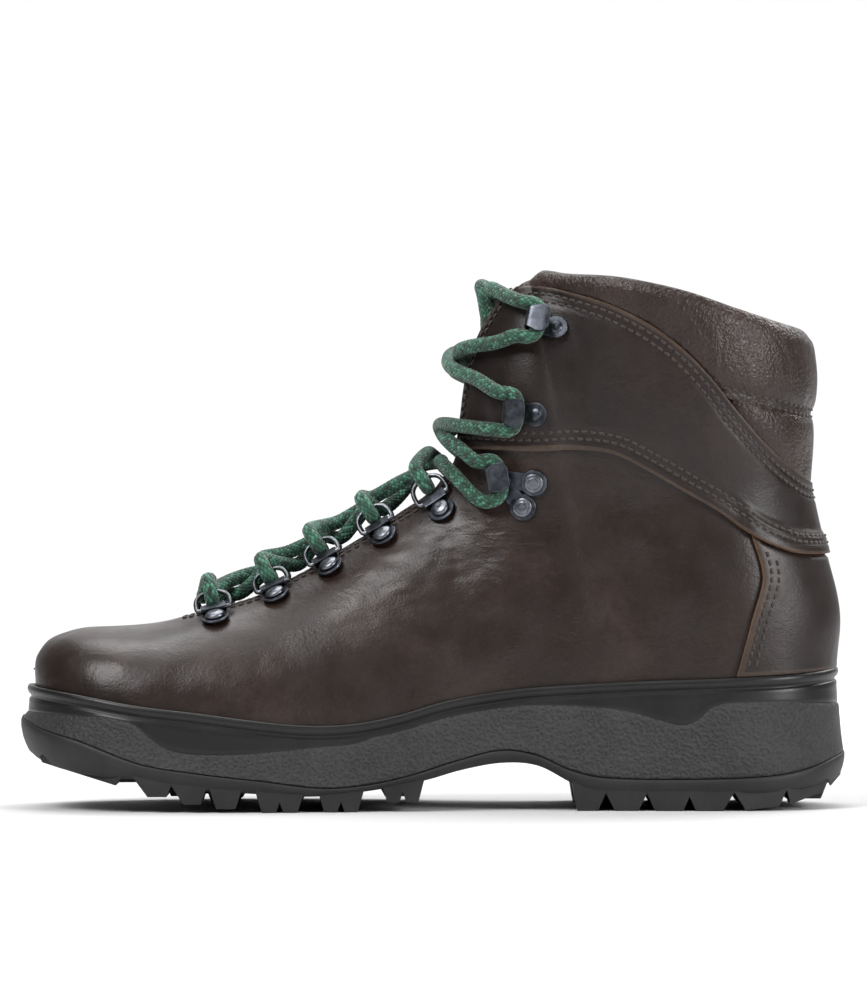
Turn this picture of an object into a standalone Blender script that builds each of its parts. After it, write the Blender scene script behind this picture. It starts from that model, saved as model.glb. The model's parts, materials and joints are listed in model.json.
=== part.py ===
"""Mountaineering boot, right foot: leather upper on a lugged sole, laced with D-rings and hooks.

Toe towards -X, heel towards +X, inner side of the foot towards -Y, +Z up, ground at z = 0.
Lengths in this file are in millimetres; MM turns them into Blender's metres.
"""
import math

import bmesh
import bpy
from mathutils import Matrix, Vector

MM = 0.001

# Driving dimensions -----------------------------------------------------------------------------
TOE_X = -150.5              # foremost point of the sole's lip
HEEL_X = 150.5              # rearmost point of the sole's lip
UPPER_INSET = 3.0           # the leather stands this far inside the lip's outline
FEATHER_DEPTH = 6.5         # the leather's lower edge lies this far below the lip's top
LEATHER = 2.4               # thickness of the upper's leather
OVERLAY_LIFT = 1.1          # gap between the leather and an overlay's back, outer face to face
OVERLAY = 1.4               # thickness of an overlay panel
STIFFENER_TOP = -3.2        # outer face of toe puff and heel counter, below the leather's face
STIFFENER = 1.0
LINING_TOP = -5.3           # outer face of the lining
LINING = 1.8
COLLAR_WIDTH = 42.0         # half width of the collar's oval
COLLAR_FRONT = 36.0
COLLAR_BACK = 139.6
LACE_RADIUS = 2.7
WIRE_RADIUS = 0.85
RING_REACH = 8.4            # from the barrel's axis to the middle of the ring's outer wire
RING_TILT = math.radians(26)
BARREL_RADIUS = 1.6
BARREL_BORE = 1.15
BARREL_LENGTH = 10.0
BARREL_HEIGHT = 2.3         # axis above the leather
RIVET_DROP = 5.8            # from the barrel's axis down to the rivet's centre
HOOK_NECK = 7.0             # width of a hook's neck
LAST_RIB = 24.0             # the rib along the back of the heel
TURN_COST = 30.0            # length of face that costs as much as a turn of one radian
FRONT_RIBS = [14, 14.8, 15.5, 16, 16.5, 17, 17.2, 17.5]
SHAFT_RIBS = [18, 18.6, 19.3, 20, 20.7, 21.4, 22, 22.6, 23.1, 23.6, 24]

# Heights along the sole, as (x, z) --------------------------------------------------------------
LIP = [(-152, 46), (-128.6, 42.4), (-106.7, 38.6), (-84.9, 36), (-63, 33.1), (-46.6, 31.6),
       (-30.2, 32), (-13.8, 35), (4.4, 40.2), (21, 43.2), (37.6, 45.2), (76.4, 47.4),
       (112, 48.7), (137.5, 50.2), (153, 52.4)]
PARTING = [(-154, 34.6), (-145, 30.4), (-128.6, 25.6), (-106.7, 17.6), (-84.9, 14), (-63, 11.5),
           (-41.1, 8.8), (-24.7, 9.8), (-8.3, 13.2), (9.9, 18.8), (25, 22.2), (37.6, 20.4),
           (49.9, 15), (62, 12.2), (87.6, 11.5), (120.9, 12.5), (137.5, 15.2), (154, 21.6)]
TREAD = [(-150, 20.5), (-138, 16), (-118, 12.6), (-106.6, 12), (-93.9, 9), (-82, 7.8),
         (-64.5, 6.9), (-45, 5.8), (-25.7, 7.4), (-3, 11.4), (9.9, 15), (25, 17.6), (38, 16.6),
         (50, 10.5), (58, 6.5), (94, 6), (125, 6.6), (143, 9), (154, 11.8)]
HALF_WIDTHS = [(-150, 49), (-95, 51), (-62, 54), (-20, 47.5), (22, 40), (62, 39), (110, 40.5),
               (150, 40.5)]

# Ribs of the upper: number, foot x, top x, top z. The tops run up the instep's ridge, the front
# of the tongue and then round the collar.
RIBS = [(0, -147.5, -148.1, 51), (1, -145.9, -147, 56.8), (2, -141, -142, 62.6),
        (3, -131, -132, 66.1), (4, -116, -117, 67), (5, -98, -100, 68.8), (6, -80, -84, 73.8),
        (7, -62, -66, 79.4), (8, -45, -49, 88.6), (9, -28, -33, 98.8), (10, -12, -17, 109.4),
        (11, 3, -2, 120.4), (12, 16, 7, 131), (13, 28, 10.4, 144.5), (14, 38, 12.2, 160),
        (15, 47, 15.6, 175.5), (16, 56, 24.5, 189.5), (17, 64, 36, 198.6), (18, 76, 50, 197.4),
        (19, 88, 70, 195), (20, 102, 92, 190.4), (21, 116, 112, 184), (22, 130, 127, 179.6),
        (23, 141, 136.5, 177.2), (24, 147.5, 139.6, 175)]

# Edges of the upper's panels in side view, as (x, z) --------------------------------------------
PANEL_TOP = [(20, 185), (31.6, 190.4), (40.6, 191.4), (50.5, 189.9), (62.5, 186.4),
             (72.5, 181.9), (82.5, 175.9), (92.4, 168), (102.5, 157), (108.5, 149),
             (122.4, 133), (136.4, 121.1), (146, 118)]
PANEL_FOOT = [(10, 132.6), (37.9, 131.9), (54.5, 132.3), (67, 130.7), (79.5, 124.4),
              (91.9, 117), (104.4, 109.5), (116.9, 100.3), (125.2, 96.2), (133.5, 93.7),
              (150, 93.4)]
PUFF_SEAM = [(90, 157), (106.4, 153.5), (117.4, 151), (137.4, 146.5), (146, 145.5)]
HEEL_PANEL_FRONT = [(44, 109.5), (54.6, 112.5), (70.8, 116.8), (83.7, 120.4), (90.1, 119.8),
                    (100, 116.6)]

# Lace hardware in side view: x, z of the barrel or hook, and its tilt in degrees. The speed hooks
# also lean by an angle, where the leather under them is hollow ------------------------------------
D_RINGS = [(-80.6, 71.7, 15), (-58.6, 80, 22.6), (-39.2, 90.8, 31), (-19.6, 102.7, 31),
           (1.1, 113.4, 31)]
ANKLE_HOOK = (24.5, 121.5, 100)
ANKLE_RIVETS = [(37, 120), (33, 111)]
SPEED_HOOKS = [(32, 145.8, 84, 0), (37.8, 176.7, 80, -6)]

# How far the tongue's face lies below the upper's outer face at its middle, by rib number -------
TONGUE_DEPTH = [(5, 6.5), (6.5, 4.8), (10, 4.8), (12.2, 1.4), (13.2, 1.0), (14.5, 4.6), (17, 4.0)]
TONGUE_EDGE_DEPTH = 9.4     # the same below the facings, where the lace's ends are tucked in too
TONGUE_THICKNESS = 3.2


# Small mathematics ------------------------------------------------------------------------------
def smooth(rows, t):
    """Values of the cubic that runs through the rows (t, value, ...), held beyond both ends."""
    if t <= rows[0][0]:
        return rows[0][1:]
    if t >= rows[-1][0]:
        return rows[-1][1:]
    i = max(k for k in range(len(rows) - 1) if rows[k][0] <= t)
    here, there = rows[i], rows[i + 1]
    before = rows[max(i - 1, 0)]
    after = rows[min(i + 2, len(rows) - 1)]
    span = there[0] - here[0]
    u = (t - here[0]) / span
    values = []
    for k in range(1, len(here)):
        slope_in = (there[k] - before[k]) / (there[0] - before[0]) * span
        slope_out = (after[k] - here[k]) / (after[0] - here[0]) * span
        rise = there[k] - here[k]
        values.append(here[k] + u * slope_in + u * u * (3 * rise - 2 * slope_in - slope_out)
                      + u ** 3 * (slope_in + slope_out - 2 * rise))
    return tuple(values)


def ramp(low, high, value):
    """Smooth step from 0 at low to 1 at high."""
    u = min(max((value - low) / (high - low), 0), 1)
    return u * u * (3 - 2 * u)


def bisect(function, low, high):
    """The place between low and high where a function that starts negative crosses zero."""
    for _ in range(32):
        middle = (low + high) / 2
        if function(middle) < 0:
            low = middle
        else:
            high = middle
    return (low + high) / 2


def height(rows, x):
    return smooth(rows, x)[0]


# The last: plan outline and upper surface -------------------------------------------------------
def spine(x):
    """Sideways place of the boot's middle: the toe turns towards the inner side."""
    return -8 * ramp(-40, -150, x) + 1.2 * ramp(20, -60, x)


def half_width(x, inset, toe_in=0.0):
    """Half the plan outline's width at x, for the lip's outline moved inwards by inset.

    The toe is moved back by toe_in more, as where the tread curls up to it.
    """
    width = height(HALF_WIDTHS, x) - inset
    toe_round = -92.0
    heel_round = 104.0
    if x < toe_round:
        reach = min((toe_round - x) / (toe_round - TOE_X - inset - toe_in), 1)
        return width * (1 - reach ** 2.3) ** (1 / 2.3)
    if x > heel_round:
        reach = min((x - heel_round) / (HEEL_X - inset - heel_round), 1)
        return width * (1 - reach ** 2.4) ** (1 / 2.4)
    return width


def rib(v):
    """Foot x, foot z, top x, top z, foot half width, top half width and wall share of a rib."""
    foot_x, top_x, top_z = smooth(RIBS, v)
    foot_z = height(LIP, foot_x) - FEATHER_DEPTH
    width = half_width(foot_x, UPPER_INSET)
    top_width = 0.0
    if v > 17:
        middle = (COLLAR_FRONT + COLLAR_BACK) / 2
        reach = min(abs(top_x - middle) / (COLLAR_BACK - middle), 1)
        top_width = COLLAR_WIDTH * (1 - reach ** 2.3) ** (0.5 + 0.3 * ramp(19.5, 17, v))
    wall = min(top_width / max(width, 1), 1) if v < 21 else 1.0
    return foot_x, foot_z, top_x, top_z, width, top_width, wall


def skin(v, s, side):
    """Point of the upper's outer face: v counts ribs from toe to heel, s runs from top to foot."""
    if v < 0 or v > LAST_RIB:
        v = -v if v < 0 else 2 * LAST_RIB - v
        side = -side
    foot_x, foot_z, top_x, top_z, width, top_width, wall = rib(v)
    if s < 0 and v <= 17:
        s = -s
        side = -side
    share = (1 - wall) * math.cos(s * math.pi / 2) + wall * (1 - s)
    boxy = ramp(8, 3, v)
    power = 2 + 0.7 * boxy + 2.2 * ramp(11.5, 17, v) + 3.8 * ramp(15, 17, v)
    inside = max(1 - max(share, 0) ** power, 0)
    flare = inside ** (0.5 - 0.08 * boxy)
    straight = ramp(16.5, 20.5, v)
    y = top_width + (width - top_width) * ((1 - straight) * flare + straight * (1 - share))
    x = foot_x + (top_x - foot_x) * share
    z = foot_z + (top_z - foot_z) * share
    shaft = ramp(10, 15, v)
    y *= 1 - 0.11 * shaft * math.exp(-((z - 112) / 27) ** 2)
    bow = 3.2 * math.exp(-((z - 72) / 16) ** 2) - 4.2 * math.exp(-((z - 122) / 24) ** 2)
    x += bow * ramp(19, 24, v)
    return Vector((x, side * y + spine(x), z))


def facing(v, s, side, offset=0.0):
    """Point at a distance from the upper's outer face, and the face's outward normal."""
    step = 0.02
    along = skin(v + step, s, side) - skin(v - step, s, side)
    low = s - step if (v <= 17 or s > step) else 0.0
    down = skin(v, min(s + step, 1), side) - skin(v, low, side)
    normal = (along.cross(down) * side).normalized()
    return skin(v, s, side) + normal * offset, normal


def crossing(v, curve, from_s=0.0):
    """Where rib v comes down through a side-view edge that is a height over x."""
    def above(s):
        point = skin(v, s, 1)
        return height(curve, point.x) - point.z
    if above(from_s) > 0:
        return from_s
    return bisect(above, from_s, 1.0)


def opening(v):
    """Half width of the throat between the two facings at rib v."""
    if v < 5.3:
        return 0.0
    if v < 6.3:
        return 11.5 * math.sqrt(1 - (6.3 - v) ** 2)
    return 11.5 + 1.5 * ramp(10, 16, v)


def throat(v):
    """Where rib v meets the facing's edge, or the ridge ahead of the throat."""
    def beyond(s):
        return abs(skin(v, s, 1).y - spine(skin(v, s, 1).x)) - opening(v)
    if v <= 5.3 or v > 19 or beyond(0.0) >= 0:
        return 0.0
    return bisect(beyond, 0.0, 0.9)


def locate(x, z):
    """Rib number and s of a point of the side view."""
    def level(v):
        return bisect(lambda s: z - skin(v, s, 1).z, 0.0, 1.0)
    v = bisect(lambda w: skin(w, level(w), 1).x - x, 0.5, 23.5)
    return v, level(v)


# Building blocks --------------------------------------------------------------------------------
def clear_scene():
    for obj in list(bpy.data.objects):
        bpy.data.objects.remove(obj)


def collection(name):
    group = bpy.data.collections.new(name)
    bpy.context.scene.collection.children.link(group)
    return group


def material(name, color, roughness, metallic=0.0):
    slot = bpy.data.materials.new(name)
    slot.use_nodes = True
    shader = slot.node_tree.nodes["Principled BSDF"]
    shader.inputs["Base Color"].default_value = (*color, 1)
    shader.inputs["Roughness"].default_value = roughness
    shader.inputs["Metallic"].default_value = metallic
    return slot


def put(name, mesh, slot, group):
    """Object of a mesh, smooth shaded, in a collection."""
    obj = bpy.data.objects.new(name, mesh)
    group.objects.link(obj)
    mesh.materials.clear()
    mesh.materials.append(slot)
    return obj


def finished(bm, name):
    """Mesh in metres from a bmesh in millimetres, its faces turned outwards."""
    bmesh.ops.remove_doubles(bm, verts=bm.verts, dist=0.01)
    bmesh.ops.dissolve_degenerate(bm, edges=bm.edges, dist=0.01)
    bmesh.ops.recalc_face_normals(bm, faces=bm.faces)
    bmesh.ops.scale(bm, verts=bm.verts, vec=(MM, MM, MM))
    mesh = bpy.data.meshes.new(name)
    bm.to_mesh(mesh)
    bm.free()
    mesh.shade_smooth()
    return mesh


def grid_faces(bm, grid):
    for row, following in zip(grid, grid[1:]):
        for i in range(len(row) - 1):
            corners = (row[i], row[i + 1], following[i + 1], following[i])
            if len(set(corners)) > 2:
                bm.faces.new(corners)


def evened(v, high, low, rows):
    """Values of s from high to low on rib v, closer together where the face turns."""
    count = 30
    values = [high + (low - high) * k / count for k in range(count + 1)]
    spots = [skin(v, s, 1) for s in values]
    costs = [0.0]
    for k in range(count):
        step = spots[k + 1] - spots[k]
        turn = step.angle(spots[k + 2] - spots[k + 1], 0.0) if k < count - 1 else 0.0
        costs.append(costs[-1] + step.length + TURN_COST * turn)
    chosen = []
    k = 0
    for row in range(rows + 1):
        wanted = costs[-1] * row / rows
        while k < count - 1 and costs[k + 1] < wanted:
            k += 1
        share = (wanted - costs[k]) / max(costs[k + 1] - costs[k], 1e-6)
        chosen.append(values[k] + (values[k + 1] - values[k]) * min(share, 1))
    return chosen


def wrapped(name, ribs, rows, top, foot, outer, thickness, slot, group):
    """A sheet over both sides of the upper, between s = top(v) and s = foot(v) on each rib.

    Its two halves are welded where they meet on the ridge, the toe and the back of the heel.
    The inner face is the same grid moved inwards, joined to the outer one round the rim.
    """
    places = [(v, evened(v, top(v), foot(v), rows)) for v in ribs]
    bm = bmesh.new()
    layers = {}
    for side in (1, -1):
        layers[side] = [[[bm.verts.new(facing(v, s, side, depth)[0]) for s in row]
                         for v, row in places] for depth in (outer, outer - thickness)]

    def welded(i, k):
        return (layers[1][0][i][k].co - layers[-1][0][i][k].co).length < 0.02

    last = len(ribs) - 1
    for front, back in layers.values():
        grid_faces(bm, front)
        grid_faces(bm, back)
        for end in (0, rows):
            for i in range(last):
                if not (welded(i, end) and welded(i + 1, end)):
                    grid_faces(bm, [[front[i][end], front[i + 1][end]],
                                    [back[i][end], back[i + 1][end]]])
        for end in (0, last):
            if not all(welded(end, k) for k in range(rows + 1)):
                grid_faces(bm, [front[end], back[end]])
    return put(name, finished(bm, name), slot, group)


def outline(inset, toe_in, stations, level):
    """Plan loop of the sole: both sides from toe to heel, moved inwards by inset."""
    toe, heel = TOE_X + inset + toe_in, HEEL_X - inset
    xs = [toe + (heel - toe) * (1 - math.cos(math.pi * i / stations)) / 2
          for i in range(stations + 1)]
    left = [Vector((x, spine(x) + half_width(x, inset, toe_in), level(x))) for x in xs]
    right = [Vector((x, spine(x) - half_width(x, inset, toe_in), level(x))) for x in xs]
    return left, right


def sole_body(name, rings, stations, slot, group):
    """A layer of the sole from rings (inset, toe inset, height over x), closed at both ends."""
    bm = bmesh.new()
    loops = []
    for inset, toe_in, level in rings:
        left, right = outline(inset, toe_in, stations, level)
        left = [bm.verts.new(p) for p in left]
        right = [left[0]] + [bm.verts.new(p) for p in right[1:-1]] + [left[-1]]
        loops.append((left, right))
    for (left, right), (next_left, next_right) in zip(loops, loops[1:]):
        grid_faces(bm, [left, next_left])
        grid_faces(bm, [right, next_right])
    for left, right in (loops[0], loops[-1]):
        for i in range(stations):
            corners = []
            for vert in (left[i], left[i + 1], right[i + 1], right[i]):
                if vert not in corners:
                    corners.append(vert)
            bm.faces.new(corners)
    return put(name, finished(bm, name), slot, group)


def prism(bm, corners):
    """Six-sided block from its eight corners: four of the lower face, four of the upper."""
    verts = [bm.verts.new(p) for p in corners]
    for face in ((0, 3, 2, 1), (4, 5, 6, 7), (0, 1, 5, 4), (1, 2, 6, 5), (2, 3, 7, 6),
                 (3, 0, 4, 7)):
        bm.faces.new([verts[i] for i in face])


def cylinder(bm, radius, low, high, sides, center=(0, 0), turn=0.0):
    """Upright closed cylinder added to a bmesh."""
    shift = Matrix.Translation((center[0], center[1], (low + high) / 2))
    shift = shift @ Matrix.Rotation(turn, 4, "Z")
    bmesh.ops.create_cone(bm, cap_ends=True, segments=sides, radius1=radius, radius2=radius,
                          depth=high - low, matrix=shift)


def boolean(obj, other, operation):
    """Boolean by another object, applied, so that copies can share the finished mesh."""
    cut = obj.modifiers.new("cut", "BOOLEAN")
    cut.object = other
    cut.operation = operation
    cut.solver = "EXACT"
    cut.use_self = True
    depsgraph = bpy.context.evaluated_depsgraph_get()
    mesh = bpy.data.meshes.new_from_object(obj.evaluated_get(depsgraph))
    obj.modifiers.clear()
    mesh.name = obj.name
    obj.data = mesh
    bpy.data.objects.remove(other)


def extruded(bm, points, low, high):
    """Closed prism of an outline in the Y-Z plane, between two places along X."""
    base = [bm.verts.new((low, y, z)) for y, z in points]
    cap = [bm.verts.new((high, y, z)) for y, z in points]
    bm.faces.new(base)
    bm.faces.new(list(reversed(cap)))
    count = len(points)
    for i in range(count):
        bm.faces.new((base[i], cap[i], cap[(i + 1) % count], base[(i + 1) % count]))


def turned(name, profile, steps):
    """Mesh of a profile (radius, height), top to bottom, turned about Z."""
    bm = bmesh.new()
    verts = [bm.verts.new((r, 0, z)) for r, z in profile]
    edges = [bm.edges.new(pair) for pair in zip(verts, verts[1:])]
    bmesh.ops.spin(bm, geom=verts + edges, axis=(0, 0, 1), cent=(0, 0, 0),
                   angle=2 * math.pi, steps=steps, use_merge=True)
    return finished(bm, name)


def tube(name, points, radius, sides_level, cyclic, slot, group):
    """Round wire or cord along points in millimetres, as a bevelled poly curve."""
    curve = bpy.data.curves.new(name, "CURVE")
    curve.dimensions = "3D"
    curve.bevel_depth = radius * MM
    curve.bevel_resolution = sides_level
    curve.use_fill_caps = True
    line = curve.splines.new("POLY")
    line.points.add(len(points) - 1)
    for knot, point in zip(line.points, points):
        knot.co = (*(Vector(point) * MM), 1)
    line.use_cyclic_u = cyclic
    obj = bpy.data.objects.new(name, curve)
    curve.materials.append(slot)
    group.objects.link(obj)
    return obj


# Places of the lace hardware --------------------------------------------------------------------
def fitting_frame(x, z, tilt, side):
    """Matrix of a fitting on the leather: local Z is the leather's normal, local X lies along
    the fitting's tilt in side view and local Y points towards the ridge or the tongue."""
    v, s = locate(x, z)
    origin, normal = facing(v, s, side)
    angle = math.radians(tilt)
    along = Vector((math.cos(angle), 0, math.sin(angle)))
    along = (along - normal * along.dot(normal)).normalized() * -side
    across = normal.cross(along)
    turn = Matrix((along, across, normal)).transposed().to_4x4()
    return Matrix.Translation(origin) @ turn


def metres(matrix):
    """The same matrix with its place in metres."""
    moved = matrix.copy()
    moved.translation = matrix.translation * MM
    return moved


# The sole ---------------------------------------------------------------------------------------
def lug(bm, x_tip, x_base, z_tip, sign, depth):
    """A tread block at the edge (sign 1 or -1) or across the middle (sign 0)."""
    corners = []
    for xs, level, shrink in ((x_tip, None, 0.6), (x_base, 1.6, 0.0)):
        for x, inner in ((xs[0], 0), (xs[1], 0), (xs[1], 1), (xs[0], 1)):
            edge = half_width(x, -1.2) - shrink
            if sign:
                y = spine(x) + sign * (edge if not inner else edge - depth + 2 * shrink)
            else:
                y = spine(x) + (depth if inner else -depth) * (1 - 0.05 * shrink)
            z = z_tip if level is None else height(TREAD, x) + level
            corners.append(Vector((x, y, z)))
    prism(bm, corners)


def make_tread():
    """All tread blocks in one mesh. Tips at the ball and under the heel share the ground."""
    bm = bmesh.new()
    blocks = [((-138, -123), (-141, -120), 12.6), ((-104, -97), (-110, -95), 5.8),
              ((-91, -84.5), (-96, -82.5), 3.0), ((-79, -72), (-81.8, -69.5), 1.4),
              ((-62.4, -49.5), (-65, -47), 0.0), ((-39.8, -27.6), (-42, -25), 0.0),
              ((-16.8, -5.5), (-19, -3), 3.4), ((53, 61.5), (51, 63), 0.0),
              ((66, 75), (64.5, 76.5), 0.0), ((82, 91), (80.5, 92.5), 0.0),
              ((97, 105), (95.5, 106.5), 0.0), ((113, 124), (111.5, 126), 0.6)]
    for sign in (1, -1):
        for tip, base, z in blocks:
            lug(bm, tip, base, z, sign, 20.0 if tip[0] < -100 else 24.0)
    for tip, base, z in (((-118, -109), (-121, -106), 9.6), ((-97, -90), (-100, -88), 4.4),
                         ((-82, -72), (-85, -69.5), 2.0), ((-62, -52), (-65, -49.5), 0.0),
                         ((-40, -30), (-43, -27), 0.0), ((-18, -9), (-21, -6), 4.2)):
        lug(bm, tip, base, z, 0, 17.0)
    for tip, base, z in (((60, 70), (58, 72), 0.0), ((86, 96), (84, 98), 0.0)):
        lug(bm, tip, base, z, 0, 9.0)
    lug(bm, (130, 143), (128, 146), 3.6, 0, 21.0)
    return finished(bm, "tread")


def make_sole(group, cutters, rubber, foam, board, steel, felt):
    def lip(drop):
        return lambda x: height(LIP, x) - drop

    def parting(rise):
        return lambda x: height(PARTING, x) + rise

    def wall(share, rise=0.0):
        return lambda x: (height(LIP, x) - 6) * (1 - share) + (height(PARTING, x) + rise) * share

    def rubber_wall(share):
        return lambda x: height(PARTING, x) * (1 - share) + height(TREAD, x) * share

    tray = [(2.3, lip(7.1)), (2.2, lip(0.5)), (1.7, lip(0)), (0.5, lip(0)), (0, lip(0.9)),
            (0, lip(2.8)), (0.9, lip(3.8)), (0.2, lip(4.8)), (0, wall(0.3)), (-0.9, wall(0.75)),
            (-1.9, parting(0.3))]
    tray = [(inset, 0, level) for inset, level in tray]
    midsole = sole_body("midsole", tray, 26, foam, group)
    rubber_rings = [(-1.9, 0, rubber_wall(0)), (-2.4, 0, rubber_wall(0.3)),
                    (-1.2, 3, rubber_wall(0.75)), (0.2, 7, rubber_wall(1))]
    outsole = sole_body("outsole", rubber_rings, 26, rubber, group)
    blocks = put("tread_blocks", make_tread(), rubber, cutters)
    boolean(outsole, blocks, "UNION")

    def plate(name, inset, low, high, stations, slot):
        rings = [(inset, 0, lip(-high)), (inset, 0, lip(-low))]
        return sole_body(name, rings, stations, slot, group)

    plate("insole_board", 6.2, -5.9, -4.3, 18, board)
    plate("footbed", 12.0, -3.9, 0.0, 18, felt)

    def bar(name, grow, low, high, slot, target):
        bm = bmesh.new()
        stations = [(-18, 8), (0, 9), (40, 9), (76, 8)]
        for (x0, w0), (x1, w1) in zip(stations, stations[1:]):
            corners = []
            for level in (low, high):
                for x, y in ((x0, -w0), (x1, -w1), (x1, w1), (x0, w0)):
                    edge = grow if y > 0 else -grow
                    reach = x + (-grow if x == -18 else grow if x == 76 else 0)
                    corners.append(Vector((reach, y + edge + spine(x), height(LIP, x) + level)))
            prism(bm, corners)
        bmesh.ops.remove_doubles(bm, verts=bm.verts, dist=0.01)
        shared = [f for f in bm.faces if all(len(e.link_faces) > 2 for e in f.edges)]
        bmesh.ops.delete(bm, geom=shared, context="FACES_ONLY")
        return put(name, finished(bm, name), slot, target)

    bar("shank", 0.0, -8.2, -7.0, steel, group)
    pocket = bar("shank_pocket", 0.4, -8.6, -5.0, foam, cutters)
    boolean(midsole, pocket, "DIFFERENCE")


# The upper --------------------------------------------------------------------------------------
def spread(first, last, count):
    return [first + (last - first) * k / count for k in range(count + 1)]


def make_upper(group, leather, panel, padding, lining_cloth, stiff, tongue_leather):
    def under_panel_top(v):
        return max(throat(v), crossing(v, PANEL_TOP) + 0.003 if v > 16 else 0)

    def to_feather(v):
        return 1.0

    ribs = [0, 0.35, 0.8, 1.4, 2.1, 2.9, 3.9, 5.0, 5.3, 5.36, 5.55, 5.9, 6.3, 7, 8, 9, 10, 11,
            12, 13] + FRONT_RIBS + SHAFT_RIBS
    wrapped("upper_leather", ribs, 8, under_panel_top, to_feather, 0, LEATHER, leather, group)

    first = bisect(lambda v: crossing(v, PANEL_FOOT) - throat(v) - 0.03, 11.5, 14.5)
    ribs = [first, 13.3] + FRONT_RIBS + SHAFT_RIBS
    wrapped("ankle_panel", ribs, 5, lambda v: max(throat(v), crossing(v, PANEL_TOP)),
            lambda v: crossing(v, PANEL_FOOT), OVERLAY_LIFT + OVERLAY, OVERLAY, panel, group)

    def heel_rib(share):
        """Where the heel panel's front edge crosses a given share of the panel's height."""
        z = height(LIP, 118) + 1.5 + share * 40
        edge_x = height(HEEL_PANEL_FRONT, z)
        return locate(edge_x, z)[0]

    front = [heel_rib(share) for share in (0.0, 0.5, 1.0)]
    middle = sum(front) / len(front)
    wrapped("heel_panel", spread(middle, 24, 7), 5, lambda v: crossing(v, PANEL_FOOT) + 0.012,
            lambda v: crossing(v, [(x, z + 0.8) for x, z in LIP]),
            OVERLAY_LIFT + OVERLAY, OVERLAY, panel, group)

    wrapped("collar_pad", [17.45, 17.7] + SHAFT_RIBS, 4, lambda v: 0.0,
            lambda v: min(crossing(v, PANEL_TOP), crossing(v, PUFF_SEAM)) - 0.006,
            2.0, 5.8, padding, group)
    low_first = bisect(lambda v: crossing(v, PANEL_TOP) - crossing(v, PUFF_SEAM) - 0.05, 20, 23)
    wrapped("collar_pad_lower", [low_first] + [v for v in SHAFT_RIBS if v > low_first + 0.2], 3,
            lambda v: crossing(v, PUFF_SEAM) + 0.004, lambda v: crossing(v, PANEL_TOP) - 0.006,
            2.0, 5.8, padding, group)

    ribs = [0.6, 1.2, 2, 3, 4, 4.5, 4.6, 4.8, 5.1, 6, 7, 8.5, 10, 11.5, 13] + FRONT_RIBS
    ribs += [18, 19, 20, 21, 22, 23, 24]

    def lining_top(v):
        """The lining is open over the tongue, wider than the throat, and joins the collar."""
        if v <= 4.5:
            return 0.0
        reach = (11.5 + 6.5) * math.sqrt(min((v - 4.5) / 0.6, 1))
        if v > 6.3:
            reach = opening(v) + 6.5

        def beyond(s):
            return abs(skin(v, s, 1).y - spine(skin(v, s, 1).x)) - reach
        if v > 19 or beyond(0.0) >= 0:
            return 0.05
        return max(bisect(beyond, 0.0, 0.9), 0.05)

    wrapped("lining", ribs, 7, lining_top,
            lambda v: crossing(v, [(x, z - 3.4) for x, z in LIP]),
            LINING_TOP, LINING, lining_cloth, group)
    wrapped("toe_puff", [0.35, 0.8, 1.4, 2.1, 2.9, 3.9, 4.6], 5, lambda v: 0.0, lambda v: 0.92,
            STIFFENER_TOP, STIFFENER, stiff, group)
    wrapped("heel_counter", [20, 21, 22, 22.8, 23.5, 24], 4, lambda v: 0.64, lambda v: 0.93,
            STIFFENER_TOP, STIFFENER, stiff, group)

    make_tongue(group, tongue_leather, lining_cloth)


def front_section(v):
    """Section of the upper's outer face square to its front line at rib v.

    Gives the middle point, the inward direction and pairs (y, depth) out to the sides.
    """
    middle = skin(v, 0, 1)
    tangent = skin(v + 0.05, 0, 1) - skin(v - 0.05, 0, 1)
    tangent = Vector((tangent.x, 0, tangent.z)).normalized()
    inward = Vector((tangent.z, 0, -tangent.x))
    pairs = [(0.0, 0.0)]
    for k in range(1, 15):
        w = v + 0.035 * k * k

        def ahead(s, w=w):
            return -(skin(w, s, 1) - middle).dot(tangent)
        if ahead(0.0) > 0:
            continue
        point = skin(w, bisect(ahead, 0.0, 1.0), 1)
        pairs.append((point.y - spine(point.x), (point - middle).dot(inward)))
    return middle, inward, pairs


SECTIONS = {}


def above_front(v, y, lift):
    """Point over (or, with a negative lift, under) the front of the upper, y from its middle."""
    key = round(v, 3)
    if key not in SECTIONS:
        SECTIONS[key] = front_section(v)
    middle, inward, pairs = SECTIONS[key]
    reach = abs(y)
    low, high = pairs[0], pairs[-1]
    for before, after in zip(pairs, pairs[1:]):
        if before[0] <= reach <= after[0]:
            low, high = before, after
            break
    share = (reach - low[0]) / max(high[0] - low[0], 0.001)
    depth = low[1] + (high[1] - low[1]) * share
    slope = reach / section_radius(pairs, reach)
    outward = Vector((0, math.copysign(slope, y), 0)) - inward * math.sqrt(1 - slope * slope)
    return middle + Vector((0, y, 0)) + inward * depth + outward * lift


def section_radius(pairs, reach):
    """Radius of the circle about the section's axis that its face follows at a reach."""
    wide = max(reach, 6.0)
    depth = max(pairs)[1]
    for before, after in zip(pairs, pairs[1:]):
        if before[0] <= wide <= after[0]:
            share = (wide - before[0]) / max(after[0] - before[0], 0.001)
            depth = before[1] + (after[1] - before[1]) * share
            break
    return max((wide * wide + depth * depth) / (2 * max(depth, 0.2)), reach * 1.1)


def rib_square_to(point):
    """Rib whose section, square to the front of the upper, holds a point."""
    def ahead(v):
        here = skin(v, 0, 1)
        tangent = skin(v + 0.05, 0, 1) - skin(v - 0.05, 0, 1)
        return (here.x - point.x) * tangent.x + (here.z - point.z) * tangent.z
    return bisect(ahead, 6.0, 17.0)


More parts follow.
